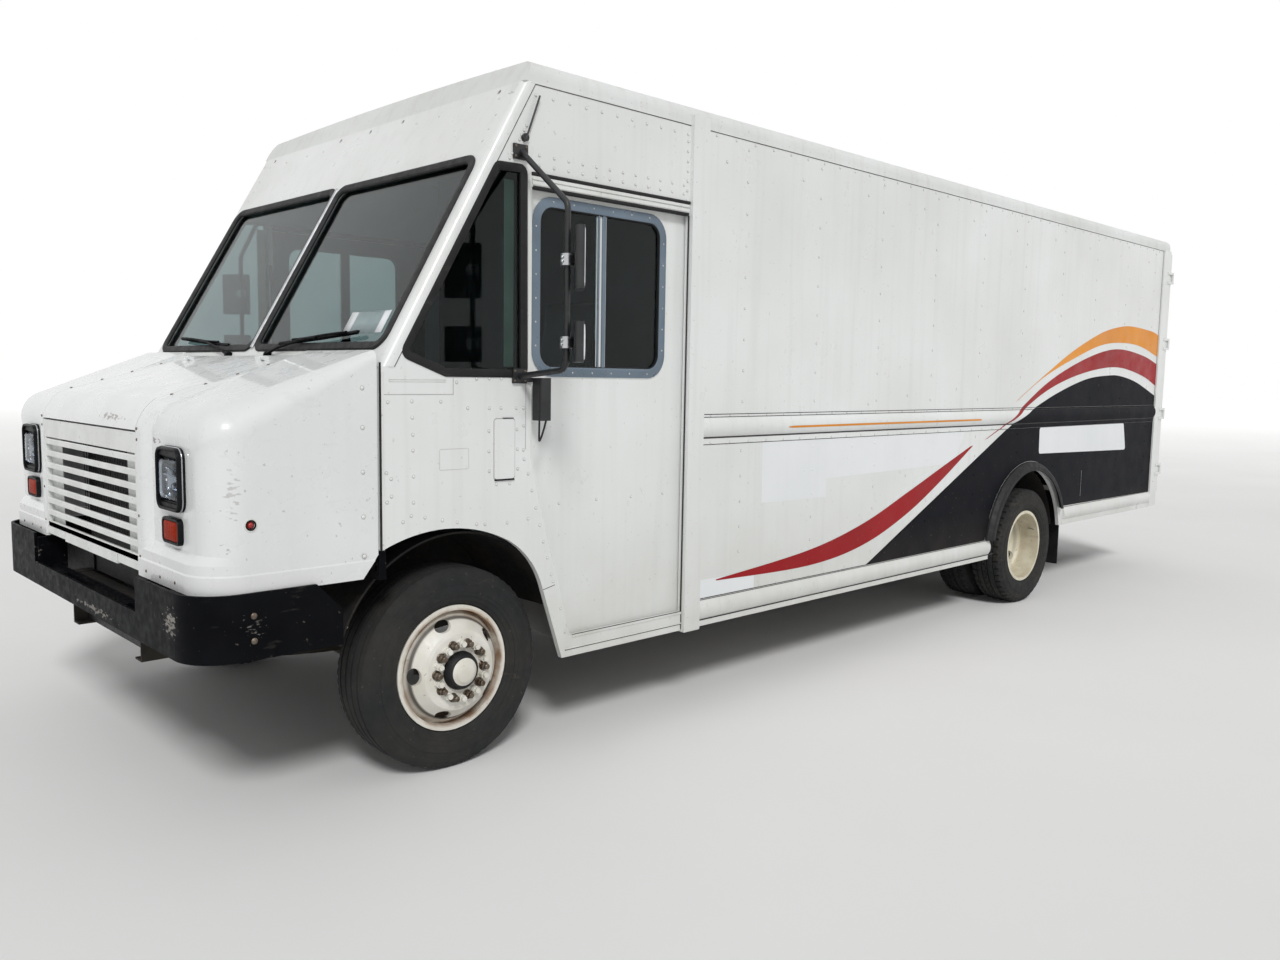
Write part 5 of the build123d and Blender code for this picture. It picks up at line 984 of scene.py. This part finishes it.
PRESSED_BARS = [(-0.0005, 0.0022, *bar)
                for bar in ((739, 987, 1.5845, 1.5885), (739, 987, 1.5925, 1.5965), (739, 742, 1.585, 1.596),
                            (984, 987, 1.585, 1.596))] + [(-0.0005, 0.0026, 706.5, 717, 0.957, 1.62)]
CAB_SEAMS = [(-0.0005, 0.0006, *bar)
             for bar in ((717, 1020, 1.5355, 1.5385), (1020, 1023, 1.5355, 1.60), (1375, 1378, 1.31, 1.60))]
DOOR_EDGE = [(1404, 1.60), (1404, 1.276), (1408, 1.262), (1469, 1.024), (1533, 0.809), (1620, 0.48)]
for side, hand in SIDES:
    blank, dirt = Blank(), Blank()
    for place, z in CAB_RIVETS:
        rivet(blank, dirt, (side * HALF, station(place), z), (side, 0, 0))
    settle(f"cab_rivets_{hand}", blank, rail_paint)
    settle(f"cab_rivet_dirt_{hand}", dirt, rivet_shadow_and_seam_grey)
    blank, dirt = Blank(), Blank()
    for z in (1.561, 1.417, 1.254, 1.089, 0.943):
        rivet(blank, dirt, (side * (HALF + (0.004 if z < 0.95 else 0)), station(630), z), (side, 0, 0), 0.008,
              0.005)
    settle(f"nose_rivets_{hand}", blank, rail_paint)
    settle(f"nose_rivet_dirt_{hand}", dirt, rivet_shadow_and_seam_grey)
    strips(f"pressed_bars_{hand}", side, PRESSED_BARS, rail_paint, 0.001)
    blank = Blank()
    tube(blank, [(side * (HALF - 0.0008), station(y), z) for y, z in DOOR_EDGE], 0.0032, 8)
    settle(f"door_edge_bead_{hand}", blank, rail_paint)
    blank = Blank()
    blank.slab(side, HALF - 0.0005, HALF + 0.0034, station(698), station(705), 0.955, 1.655)
    tube(blank, [(side * HALF, station(1476), 0.703), (side * HALF, station(1540), 0.716)], 0.0013, 6)
    settle(f"nose_joint_{hand}", blank, trim_rubber)
    # A thin black sheet on the firewall's edge, below the nose joint, is painted shade.
    blank = Blank()
    blank.slab(side, 1.162, 1.1645, station(704), station(736), 0.839, 0.954)
    settle(f"firewall_edge_{hand}", blank, bumper_black, bevel=0.0008)
    strips(f"cab_seams_{hand}", side, CAB_SEAMS, rivet_shadow_and_seam_grey)
print(2 * len(CAB_RIVETS), "cab rivets")

# %% [markdown]
# The left side alone has a small access door and the outline that an old plate has left. Both could be
# cut into the sheet, but their joints are a millimetre wide, so thin outlines laid on it are enough.

# %% Access door and old plate outline
wall = Face((HALF, 0, 0), (0, 1, 0), (0, 0, 1))
blank = Blank()
surround(blank, wall, box_outline(station(960), station(1092), 1.245, 1.323, 0.004, 2),
         [(0.0, -0.0004), (0.0, 0.0004), (0.0032, 0.0004), (0.0032, -0.0004)])
settle("old_plate_outline", blank, pale_mark_and_highlight)
blank = Blank()
surround(blank, wall, box_outline(station(1216.5), station(1319.5), 1.1915, 1.4385, 0.012, 4),
         [(0.0, -0.0005), (0.0, 0.0008), (0.0026, 0.0008), (0.0026, -0.0005)])
settle("access_door_joint", blank, rivet_shadow_and_seam_grey)
blank = Blank()
blank.block(HALF - 0.001, HALF + 0.0055, station(1219), station(1317), 1.186, 1.1935)
settle("access_door_shadow_strip", blank, trim_rubber, bevel=0.001)
blank = Blank()
blank.block(HALF, HALF + 0.0055, station(1259), station(1312), 1.4395, 1.4425)
settle("access_door_top_line", blank, trim_rubber, bevel=0.0008)
print("access door outlined")

# %% [markdown]
# The stripes are paint and vinyl on the sheet. Each could be a mask in the wall's material, but a thin
# film is closer to the real thing and keeps a sharp edge: an outline drawn along smooth curves, cut
# where the wall bends, and laid a hair off the surface. The design is a generic sweep of arcs. One
# table gives the wall's profile with its rub rail, so paint, rivets and sealant lie on the surface.

# %% Wall profile and film helper
RAIL_ARC = [(1.375 + 0.073 * sin(radians(a)), -0.051 + 0.073 * cos(radians(a))) for a in range(-40, 41, 10)]
PROFILE = [(0.3, 0.0), (1.2915, 0.0), (1.2925, 0.004), (1.3265, 0.004), *RAIL_ARC, (1.4235, 0.004),
           (1.4355, 0.004), (1.4365, 0.0), (3.0, 0.0)]


def wall_stand(z):
    """How far the wall stands out at a height, with the belt rail on it."""
    for (z0, x0), (z1, x1) in zip(PROFILE, PROFILE[1:]):
        if z0 <= z <= z1:
            return x0 + (x1 - x0) * (z - z0) / (z1 - z0)
    return 0.0


laid = []


def film(name, outline, material, lift):
    """Lays a flat outline of (along, height) points on both body sides, bent over the rails."""
    laid.append((outline, material))
    for side, hand in SIDES:
        sheet = bmesh.new()
        sheet.faces.new([sheet.verts.new((0, y, z)) for y, z in outline])
        bmesh.ops.triangulate(sheet, faces=sheet.faces[:])
        for z, _ in PROFILE[1:-1]:
            bmesh.ops.bisect_plane(sheet, geom=sheet.verts[:] + sheet.edges[:] + sheet.faces[:],
                                   plane_co=(0, 0, z), plane_no=(0, 0, 1), dist=1e-6)
        for v in sheet.verts:
            v.co.x = side * (HALF + wall_stand(v.co.z) + lift)
        sheet.verts.index_update()
        blank = Blank()
        blank.put([v.co for v in sheet.verts], [[v.index for v in f.verts] for f in sheet.faces])
        sheet.free()
        piece = settle(f"{name}_{hand}", blank, material, smooth=30)
        if piece.data.polygons[0].normal.x * side < 0:
            piece.data.flip_normals()


film_black = finish("black film", tone(15, 16, 22), tone(20, 21, 27), rough=0.5, rough_spread=0.04, patch=1.3,
                    grain=26, bump=0.02, streak=0.05, streak_tone=tone(48, 48, 54), specks=0.15,
                    grime=(0.45, 0.75, 0.08), Specular_IOR_Level=0.05)
film_red = finish("red film", tone(156, 12, 22), tone(143, 10, 18), rough=0.4, patch=1.5, grain=30, bump=0.05,
                  specks=0.15, Specular_IOR_Level=0.2)
film_orange = finish("orange film", tone(230, 148, 30), tone(218, 136, 26), rough=0.4, patch=1.5, grain=30,
                     bump=0.05, specks=0.15, Specular_IOR_Level=0.3)
patch_white = finish("patch white", tone(231, 233, 235), tone(224, 227, 229), rough=0.42, patch=1.2, grain=12,
                     bump=0.1, streak=0.1, streak_tone=tone(200, 204, 208))

# %% Stripes on the cargo sides
REAR_EDGE, SKIRT, ARCH = 4.106, 0.5235, 0.6275
LIFT_LOW, LIFT_FIELD, LIFT_SWEEP, LIFT_TOP = 0.0004, 0.0006, 0.0010, 0.0012
ARCH_FRONT, ARCH_REAR = asin(0.919) - 0.003, asin(0.985) - 0.003
arch = [(REAR_AXLE + ARCH * sin(a), AXLE_HEIGHT + ARCH * cos(a))
        for a in [ARCH_FRONT - (ARCH_FRONT + ARCH_REAR) * i / 30 for i in range(31)]]
black_top = curved([(1.419, 1.328), (1.684, 1.414), (2.136, 1.547), (2.633, 1.652), (3.07, 1.687),
                    (3.335, 1.682), (3.683, 1.632), (REAR_EDGE, 1.522)])
black_front = curved([(-0.372, SKIRT), (0.028, 0.695), (0.919, 1.103), (1.419, 1.328)])
black_foot = [(REAR_EDGE, 0.662)] + arch + [(arch[-1][0] - 0.01, SKIRT)]
film("black_field", black_front[:-1] + black_top + black_foot, film_black, LIFT_FIELD)
film("red_sweep", curved([(1.02, 1.224), (1.353, 1.349), (1.89, 1.598), (2.358, 1.751), (2.873, 1.867),
                          (3.299, 1.905), (3.8, 1.862), (REAR_EDGE, 1.8)])
     + curved([(REAR_EDGE, 1.61), (3.8, 1.69), (3.324, 1.752), (2.892, 1.739), (2.37, 1.665), (1.897, 1.547),
               (1.40, 1.352), (1.028, 1.222)])[:-1], film_red, LIFT_SWEEP)
film("orange_sweep", curved([(1.452, 1.484), (1.881, 1.67), (2.343, 1.858), (2.85, 2.017), (3.211, 2.083),
                             (3.509, 2.102), (3.951, 2.079), (REAR_EDGE, 2.05)])
     + curved([(REAR_EDGE, 1.865), (3.7, 1.943), (3.29, 1.959), (2.864, 1.923), (2.35, 1.8), (1.882, 1.66),
               (1.456, 1.481)])[:-1], film_orange, LIFT_SWEEP)
film("orange_line", [(-1.186, 1.362), (-1.15, 1.3585), (0.90, 1.3585), (0.927, 1.362), (0.927, 1.3655),
                     (0.9, 1.3695), (-1.15, 1.3695), (-1.186, 1.3665)], film_orange, LIFT_TOP)
film("lower_red_sweep", curved([(0.86, 1.19), (0.46, 0.978), (0.05, 0.79), (-0.42, 0.645), (-0.95, 0.585),
                                (-1.72, 0.60)])
     + curved([(-1.72, 0.606), (-0.95, 0.672), (-0.42, 0.775), (0.05, 0.925), (0.46, 1.064),
               (0.86, 1.198)])[:-1], film_red, LIFT_SWEEP)
film("patch_on_black", rounded([(1.861, 1.095), (3.513, 1.063), (3.445, 1.2885), (1.853, 1.2885)], 0.02, 3),
     patch_white, LIFT_TOP)
film("patch_under_belt", [(-1.379, 1.288), (-1.375, 0.969), (-0.803, 0.961), (-0.809, 1.065), (0.62, 1.083),
                          (0.74, 1.288)], patch_white, LIFT_LOW)
film("flap_on_black", box_outline(2.645, 2.905, 0.725, 0.93, 0.008, 2), film_black, 0.0026)
# A pale strip on the flap's left edge is a painted highlight.
film("flap_edge", [(2.641, 0.725), (2.6435, 0.725), (2.6435, 0.93), (2.641, 0.93)], pale_mark_and_highlight, 0.0022)
film("patch_at_skirt", [(-1.85, 0.618), (-1.42, 0.608), (-1.419, 0.5245), (-1.855, 0.5245)], patch_white,
     LIFT_LOW)
print("stripes laid")

# %% [markdown]
# The cargo side is sheet on hidden posts: an upright row of rivets marks each post, and closer rows
# hold the rub rails. Along the rails' flanges runs a dark line of sealant, widened under each rail's
# bulge into a painted shadow. A rivet under a stripe wears the stripe's colour, which a test of its
# place against the outlines decides.

# %% Rivets, sealant and painted rail shadow on the cargo sides
POSTS = range(2760, 8400, 610)


def covering(y, z):
    """The finish on top at a place on the wall: the last film laid there, or the body's paint."""
    top = rail_paint
    for outline, material in laid:
        inside = False
        for (y0, z0), (y1, z1) in zip(outline, outline[1:] + outline[:1]):
            if (z0 > z) != (z1 > z) and y < y0 + (y1 - y0) * (z - z0) / (z1 - z0):
                inside = not inside
        if inside:
            top = material
    return top


POST_HEIGHTS = [1.50 + 0.155 * i for i in range(9)] + [0.60 + 0.13 * i for i in range(6)]
rows = [(place, z, 0.0062) for place in POSTS for z in POST_HEIGHTS if (place, z) != (POSTS[0], 0.60)]
rows += [(place, 2.770, 0.0058) for place in range(2520, 8400, 145)]
rows += [(place, 2.66, 0.0066) for place in range(2600, 8400, 610)]
rows += [(place, z, 0.0048) for place in range(2520, 8400, 145) for z in (1.299, 1.4305)]
rows += [(place, 0.5265, 0.0045) for place in range(2500, 5500, 145)]
rows += [(round((y - BUMPER_FACE) * 1000), z, 0.0066)
         for y, z in ((-0.414, 1.479), (0.009, 1.528), (0.602, 1.57), (-0.565, 1.238), (-1.013, 1.122),
                      (-0.597, 1.171), (0.007, 1.144), (-0.611, 1.068), (0.025, 1.035))]
SEALANT_AND_RAIL_SHADOW = [(-0.0005, 0.0016, y0, y1, z - 0.002, z + 0.002)
           for y0, y1, z in ((2450, 8420, 1.2905), (2450, 8420, 1.4378), (2450, 5527, 0.5215),
                             (6640, 8420, 0.6595))]
# The two wider strips, under the rails' bulges, are painted shadow over the sealant line; the thin ones are
# sealant.
SEALANT_AND_RAIL_SHADOW += [(0.0035, 0.0056, y0, y1, z - tall, z + tall)
            for y0, y1, z, tall in ((2450, 8420, 1.3235, 0.0035), (2450, 8420, 1.4245, 0.0013),
                                    (2450, 5527, 0.4160, 0.003), (2450, 5527, 0.5165, 0.0013))]
SEALANT_AND_RAIL_SHADOW += [(-0.0005, 0.0012, y - 1.5, y + 1.5, 0.53, 2.785) for y in (2451.5, 8418.5)]
for side, hand in SIDES:
    heads, dirt = {}, Blank()
    for place, z, radius in rows:
        y = station(place)
        if hypot(y - REAR_AXLE, z - AXLE_HEIGHT) > 0.66:
            top = covering(y, z)
            spot = (side * (HALF + wall_stand(z) + 0.0006), y, z)
            dome(heads.setdefault(top.name, (Blank(), top))[0], spot, (side, 0, 0), radius, radius * 0.62)
            # Rivets on bare paint get a ring of painted shadow round the foot.
            if top is rail_paint:
                shadow_ring(dirt, spot, (side, 0, 0), radius)
    for label, (blank, top) in heads.items():
        settle(f"cargo_rivets_{label.replace(' ', '_')}_{hand}", blank, top)
    settle(f"cargo_rivet_dirt_{hand}", dirt, rivet_shadow_and_seam_grey)
    blank = Blank()
    for i in range(15):
        dome(blank, (side * (HALF + 0.022), station(2362), 0.45 + 0.16 * i), (side, 0, 0), 0.005, 0.0028)
    settle(f"post_rivets_{hand}", blank, rail_paint)
    strips(f"cargo_sealant_{hand}", side, SEALANT_AND_RAIL_SHADOW, sealant_and_shadow)
    print("cargo side", hand, len(heads), "colours of rivet")

# %% [markdown]
# The roof's edge is a rounded rail with a gutter line and its own rivets. The corner pillar of the cab
# is a moulding with a sealed edge. Both only need thin strips that follow the solids' straight lines.

# %% Roof rail and pillar lines
PILLAR_LINE, PILLAR_RISE = SCREEN_BASE + 0.055, 1.15
for side, hand in SIDES:
    gutter = [(-0.0005, 0.004, y0, y1, 2.786, 2.7925) for y0, y1 in ((1395, 2340), (2450, 8568))]
    strips(f"gutter_{hand}", side, gutter, rail_paint, 0.0015)
    blank = Blank()
    blank.slab(side, HALF - 0.0005, HALF + 0.0018, station(1395), station(8568), 2.7835, 2.786)
    blank.skin([[(side * (HALF + x), PILLAR_LINE + RAKE * up + dy, SCREEN_FOOT + up)
                 for x, dy in ((-0.001, 0.0), (0.0031, 0.0), (0.0028, 0.0035), (-0.001, 0.0035))]
                for up in (0.0, PILLAR_RISE)])
    settle(f"gutter_shadow_{hand}", blank, sealant_and_shadow)
    blank = Blank()
    for i in range(40):
        dome(blank, (side * HALF, station(1480 + 178 * i), 2.812), (side, 0, 0), 0.0045, 0.0024)
    settle(f"roof_rivets_{hand}", blank, roof_paint)
print("roof lines laid")

# %% [markdown]
# Five holes in the header show where lamps once sat. The solid has the holes; a dark dome sunk in each is
# painted shade that makes it read as open. A small riveted plate covers the joint at each upper corner of
# the header.

# %% Header holes and corner plates
# A dark dome sunk in each hole is painted shade.
blank = Blank()
for x in (-1.035, -0.293, 0.0, 0.293, 1.035):
    dome(blank, screen.at(x, 1.2995, -0.0105), screen.out, 0.0108, 0.006, 12)
settle("header_plugs", blank, trim_rubber)
blank, dirt = Blank(), Blank()
for side in (1, -1):
    blank.skin([[screen.at(side * a, b, h) for a, b in ((1.117, 1.272), (1.152, 1.272), (1.158, 1.318),
                                                        (1.124, 1.322))]
                for h in (-0.001, 0.0022)])
    for a, b in ((0.86, 1.262), (0.62, 1.262), (0.44, 1.26), (1.06, 1.262), (1.10, 1.10), (1.10, 1.17),
                 (1.10, 1.04)):
        rivet(blank, dirt, screen.at(side * a, b, 0), screen.out, 0.005, 0.003)
settle("header_plates", blank, rail_paint, smooth=30)
settle("header_rivet_dirt", dirt, rivet_shadow_and_seam_grey)
print("header done")

# %% [markdown]
# The nose is bolted up from a hood, two fenders and a sill. Small screws hold the grille and the hood's
# edge, and domed bolts hold the bumper. They are tiny, but their pattern is what the eye expects at the
# front of a working truck.

# %% Nose screws and bumper bolts
def hood_height(y):
    """Height of the hood's flat at a place along the truck."""
    return 1.51 + (y - station(119)) * 0.3


blank = Blank()
for side in (1, -1):
    for t in (0.08, 0.36, 0.64, 0.92):
        y = station(130 + 460 * t)
        dome(blank, (side * (0.622 - 0.04 * t), y, hood_height(y)), (0, -0.29, 0.957), 0.007, 0.0035, 10)
    for z in (1.40, 1.36, 1.08, 0.93):
        dome(blank, (side * 0.612, station(40), z), (0, -1, 0), 0.006, 0.003, 10)
    for x in (0.68, 0.82, 0.96):
        dome(blank, (side * x, station(36), 0.885), (0, -1, 0), 0.006, 0.003, 10)
settle("nose_screws", blank, nut_steel)
blank = Blank()
for side in (1, -1):
    for z in (0.787, 0.700):
        dome(blank, (side * (HALF + 0.0175), station(205), z), (side, 0, 0), 0.012, 0.007, 14)
settle("bumper_bolts", blank, nut_steel)
print("front screws set")

# %% [markdown]
# The grille is a welded frame with eight louvre blades. A blade is a thin folded strip: a short lip at
# the front, then a web that leans down and back. Each is one folded section drawn out across the
# frame, and plates behind both ends close the gaps there, so only the middle is open to the core.

# %% Grille
GRILLE_FACE, GRILLE_HALF = station(43), 0.5992
BLADE = [(0.0, 0.006), (0.0, 0.0265), (0.0025, 0.0295), (0.006, 0.0305), (0.034, 0.0195), (0.034, 0.016),
         (0.0075, 0.0245), (0.005, 0.021), (0.0045, 0.006)]
blank = Blank()
for y0, y1, x0, x1, z0, z1 in ((0, 0.026, -GRILLE_HALF, GRILLE_HALF, 1.3075, 1.385),
                               (0, 0.014, -GRILLE_HALF, GRILLE_HALF, 0.9, 0.928),
                               (0, 0.014, -0.338, 0.338, 0.862, 0.9)):
    blank.block(x0, x1, GRILLE_FACE + y0, GRILLE_FACE + y1, z0, z1)
for side in (1, -1):
    for y0, y1, x0, x1, z0, z1 in ((0, 0.026, 0.576, GRILLE_HALF, 0.928, 1.3075),
                                   (0, 0.014, 0.35, GRILLE_HALF, 0.87, 0.9),
                                   (0.024, 0.027, 0.42, 0.5985, 0.901, 1.36)):
        blank.slab(side, x0, x1, GRILLE_FACE + y0, GRILLE_FACE + y1, z0, z1)
settle("grille_frame", blank, grille_paint, bevel=0.0025, stands_for=("grille",))
blank = Blank()
for i in range(8):
    foot = 1.27 - 0.053 * i
    blank.skin([[(x, GRILLE_FACE + y, foot + z) for y, z in BLADE] for x in (-0.5775, 0.5775)])
settle("grille_blades", blank, grille_paint, smooth=25)
print("grille blades 8")

# %% [markdown]
# Behind the slats is a black core. A wire screen in front of it gives the dark some depth: crossed
# wires on a plane, kept coarse so that it costs few faces. Below it a dark sheet hangs between the
# rails, and splash sheets reach out from them on both sides; they fill the nose's openings with painted
# shade, so that no light shows through the nose.

# %% Screen behind the grille
blank = Blank()
UPRIGHTS, RUNGS, SCREEN_HALF = 27, 14, 0.41
for i in range(UPRIGHTS):
    x = SCREEN_HALF * (2 * i / (UPRIGHTS - 1) - 1)
    blank.block(x - 0.001, x + 0.001, station(150), station(152), 0.905, 1.325)
for i in range(RUNGS):
    z = 0.91 + 0.41 * i / (RUNGS - 1)
    blank.block(-SCREEN_HALF, SCREEN_HALF, station(152), station(154), z - 0.001, z + 0.001)
# The sheet below and the splash sheets beside it are dark as painted shade in the nose's openings.
blank.block(-0.423, 0.423, station(150), station(153), 0.489, 0.711)
for side in (1, -1):
    blank.slab(side, 0.4325, 1.08, station(160), station(163), 0.62, 0.857)
    blank.slab(side, 0.36, 0.4325, station(160), station(163), 0.7215, 0.857)
settle("core_screen", blank, core_metal)
print("core screen", len(blank.faces), "faces")

# %% [markdown]
# The mirrors are black heads on a tube loop. The glass faces back towards the driver, the clamps are
# bright, and each arm ends in a bolted foot. The glass is a separate plate with a bevelled edge, set
# into the back of the head. The left mirror's lead is a thin tube along a smooth line.

# %% Mirror glass, clamps and feet
MIRROR_Y, HEAD_X, ARM_X = station(1340), 1.56, 1.49
for side, hand in SIDES:
    for part, low, high in (("upper", 1.944, 2.178), ("lower", 1.669, 1.822)):
        face = Face((side * HEAD_X, MIRROR_Y, (low + high) / 2), (0.79, -0.61 * side, 0), (0, 0, 1))
        if face.out.y < 0:
            face = Face(face.origin, -face.along, face.up)
        blank = Blank()
        high_half = (high - low) / 2 - 0.009
        edge, crown = (0.0195, 0.0195) if part == "upper" else (0.021, 0.026)
        stack(blank, face, box_outline(-0.074, 0.074, -high_half, high_half, 0.012),
              [(1.0, 0.0165), (0.995, 0.0185), (0.96, edge), (0.3, crown)])
        settle(f"mirror_glass_{part}_{hand}", blank, mirror_face, smooth=50)
    blank = Blank()
    for z in (2.061, 1.7455):
        tube(blank, [(side * ARM_X, MIRROR_Y, z - 0.0225), (side * ARM_X, MIRROR_Y, z + 0.0225)], 0.0255, 20)
        for up in (0.008, -0.008):
            dome(blank, (side * ARM_X, MIRROR_Y - 0.0255, z + up), (0, -1, 0), 0.008, 0.006, 10)
    settle(f"mirror_clamps_{hand}", blank, bright_steel, smooth=30)
    blank = Blank()
    for z in (2.506, 1.612):
        for dy, dz in ((-26, 0.02), (-26, -0.02), (26, 0.02), (26, -0.02)):
            dome(blank, (side * (HALF + 0.0095), station(1340 + dy), z + dz), (side, 0, 0), 0.0065, 0.005)
    settle(f"mirror_foot_bolts_{hand}", blank, nut_steel)
blank = Blank()
CORD = [(1.245, 1440, 1.435), (1.25, 1425, 1.40), (1.262, 1400, 1.362), (1.275, 1380, 1.35),
        (1.292, 1365, 1.37), (1.312, 1350, 1.43), (1.325, 1342, 1.52), (1.33, 1340, 1.598)]
tube(blank, curved([(x, station(y), z) for x, y, z in CORD], 5), 0.0042, 8)
settle("mirror_cord_left", blank, trim_rubber)
print("mirrors dressed")

# %% [markdown]
# The rear doors carry hinges and a rubber seal between them. The solids have the hinges. The seal is a
# bevelled strip on the meeting edge of each door, and rivets hold the hinge leaves and the skins.

# %% Rear doors
DOOR_SKIN = station(8570) + 0.0375
for side, hand in SIDES:
    blank = Blank()
    blank.slab(side, 0.0045, 0.02, DOOR_SKIN - 0.001, DOOR_SKIN + 0.003, 0.665, 2.765)
    settle(f"rear_seal_{hand}", blank, trim_rubber, f"rear_door_{hand}", bevel=0.0012)
    blank = Blank()
    for z in (0.86, 1.36, 1.98, 2.56):
        for x in (1.05, 1.09, 1.13):
            dome(blank, (side * x, station(8570) + 0.0445, z), (0, 1, 0), 0.0075, 0.004, 10)
    for i in range(12):
        for x in (0.06, 1.0):
            dome(blank, (side * x, DOOR_SKIN, 0.74 + 0.17 * i), (0, 1, 0), 0.005, 0.0026)
    settle(f"rear_rivets_{hand}", blank, body_paint, f"rear_door_{hand}")
print("rear doors dressed")

# %% [markdown]
# The driver's seat is seen through the glass. Its cushions are padded pieces: a slightly small box is
# remeshed finely and blown up as cloth for a few frames, which crowns the faces and draws the corners
# in, as foam under vinyl does, and is then smoothed.

# %% Seat cushions
PUFF_FRAMES = 20


def final(piece):
    """The piece as its modifiers leave it."""
    return piece.evaluated_get(bpy.context.evaluated_depsgraph_get())


def cushion(name, corners, rise):
    """A padded cushion from its eight corners, blown up by no more than the rise."""
    blank = Blank()
    blank.put(corners, [(0, 1, 2, 3), (7, 6, 5, 4), (0, 4, 5, 1), (1, 5, 6, 2), (2, 6, 7, 3), (3, 7, 4, 0)])
    piece = settle(name, blank, seat_vinyl, stands_for=("seat_cushions",), smooth=80)
    bpy.context.view_layer.objects.active = piece
    remesh = piece.modifiers.new("remesh", "REMESH")
    remesh.mode, remesh.voxel_size = "VOXEL", 0.012
    remesh.use_smooth_shade = True
    cloth = piece.modifiers.new("cloth", "CLOTH")
    cloth.settings.use_pressure = True
    cloth.settings.uniform_pressure_force = 4
    cloth.settings.effector_weights.gravity = 0
    cloth.point_cache.frame_start, cloth.point_cache.frame_end = 1, PUFF_FRAMES
    start = [v.co.copy() for v in final(piece).data.vertices]
    for step in range(1, PUFF_FRAMES + 1):
        bpy.context.scene.frame_set(step)
    shape = bpy.data.meshes.new_from_object(final(piece))
    for v, before in zip(shape.vertices, start):
        move = v.co - before
        if move.length > rise:
            v.co = before + move * (rise / move.length)
    bpy.context.scene.frame_set(1)
    piece.modifiers.clear()
    piece.data = shape
    smooth = piece.modifiers.new("smooth", "SMOOTH")
    smooth.iterations = 6
    print(name, len(shape.vertices), "points")


SEAT, PUFF = station(1700), 0.016
base = [(0.24, SEAT + 0.01), (0.68, SEAT + 0.01), (0.68, SEAT + 0.45), (0.24, SEAT + 0.45)]
cushion("seat_base", [(x, y, z) for z in (1.225, 1.315) for x, y in base], PUFF)
foot = [(0.255, SEAT + 0.40), (0.665, SEAT + 0.40), (0.665, SEAT + 0.485), (0.255, SEAT + 0.485)]
cushion("seat_back", [(x, y + lean, z) for lean, z in ((0, 1.345), (0.122, 2.0)) for x, y in foot], PUFF)

# %% [markdown]
# A few things show inside the cab: the wheel's rim, a cluster of plain dials and a grab rail. They are
# rings and tubes, enough for what the dark glass lets through.

# %% Inside the cab
blank = Blank()
STEERING_X, STEERING_TILT = 0.45, radians(38)
rim_face = Face((STEERING_X, SCREEN_BASE + 0.56 + 0.02 * sin(STEERING_TILT), 1.40 + 0.02 * cos(STEERING_TILT)),
                (1, 0, 0), (0, cos(STEERING_TILT), -sin(STEERING_TILT)))
surround(blank, rim_face, circle(0.209, 40), [(u, 0.004 + v) for u, v in circle(0.015, 8)])
settle("steering_rim", blank, dash_plastic)
blank = Blank()
for aside in (-0.09, 0, 0.09):
    dial = Face((STEERING_X + aside, SCREEN_BASE + 0.336, 1.50), (1, 0, 0), (0, 0.29, 0.957))
    surround(blank, dial, circle(0.034, 24), [(0.003, -0.004), (0.003, 0.005), (-0.003, 0.005),
                                              (-0.003, -0.004)])
settle("dial_rims", blank, bright_steel)
blank = Blank()
GRAB_RAIL = [(1.09, 1300, 1.25), (1.08, 1330, 1.3), (1.08, 1345, 1.7), (1.08, 1345, 2.1), (1.09, 1330, 2.2)]
for side in (1, -1):
    tube(blank, [(side * x, station(y), z) for x, y, z in GRAB_RAIL], 0.013)
settle("grab_rails", blank, bulkhead_grey)
print("cab interior made")
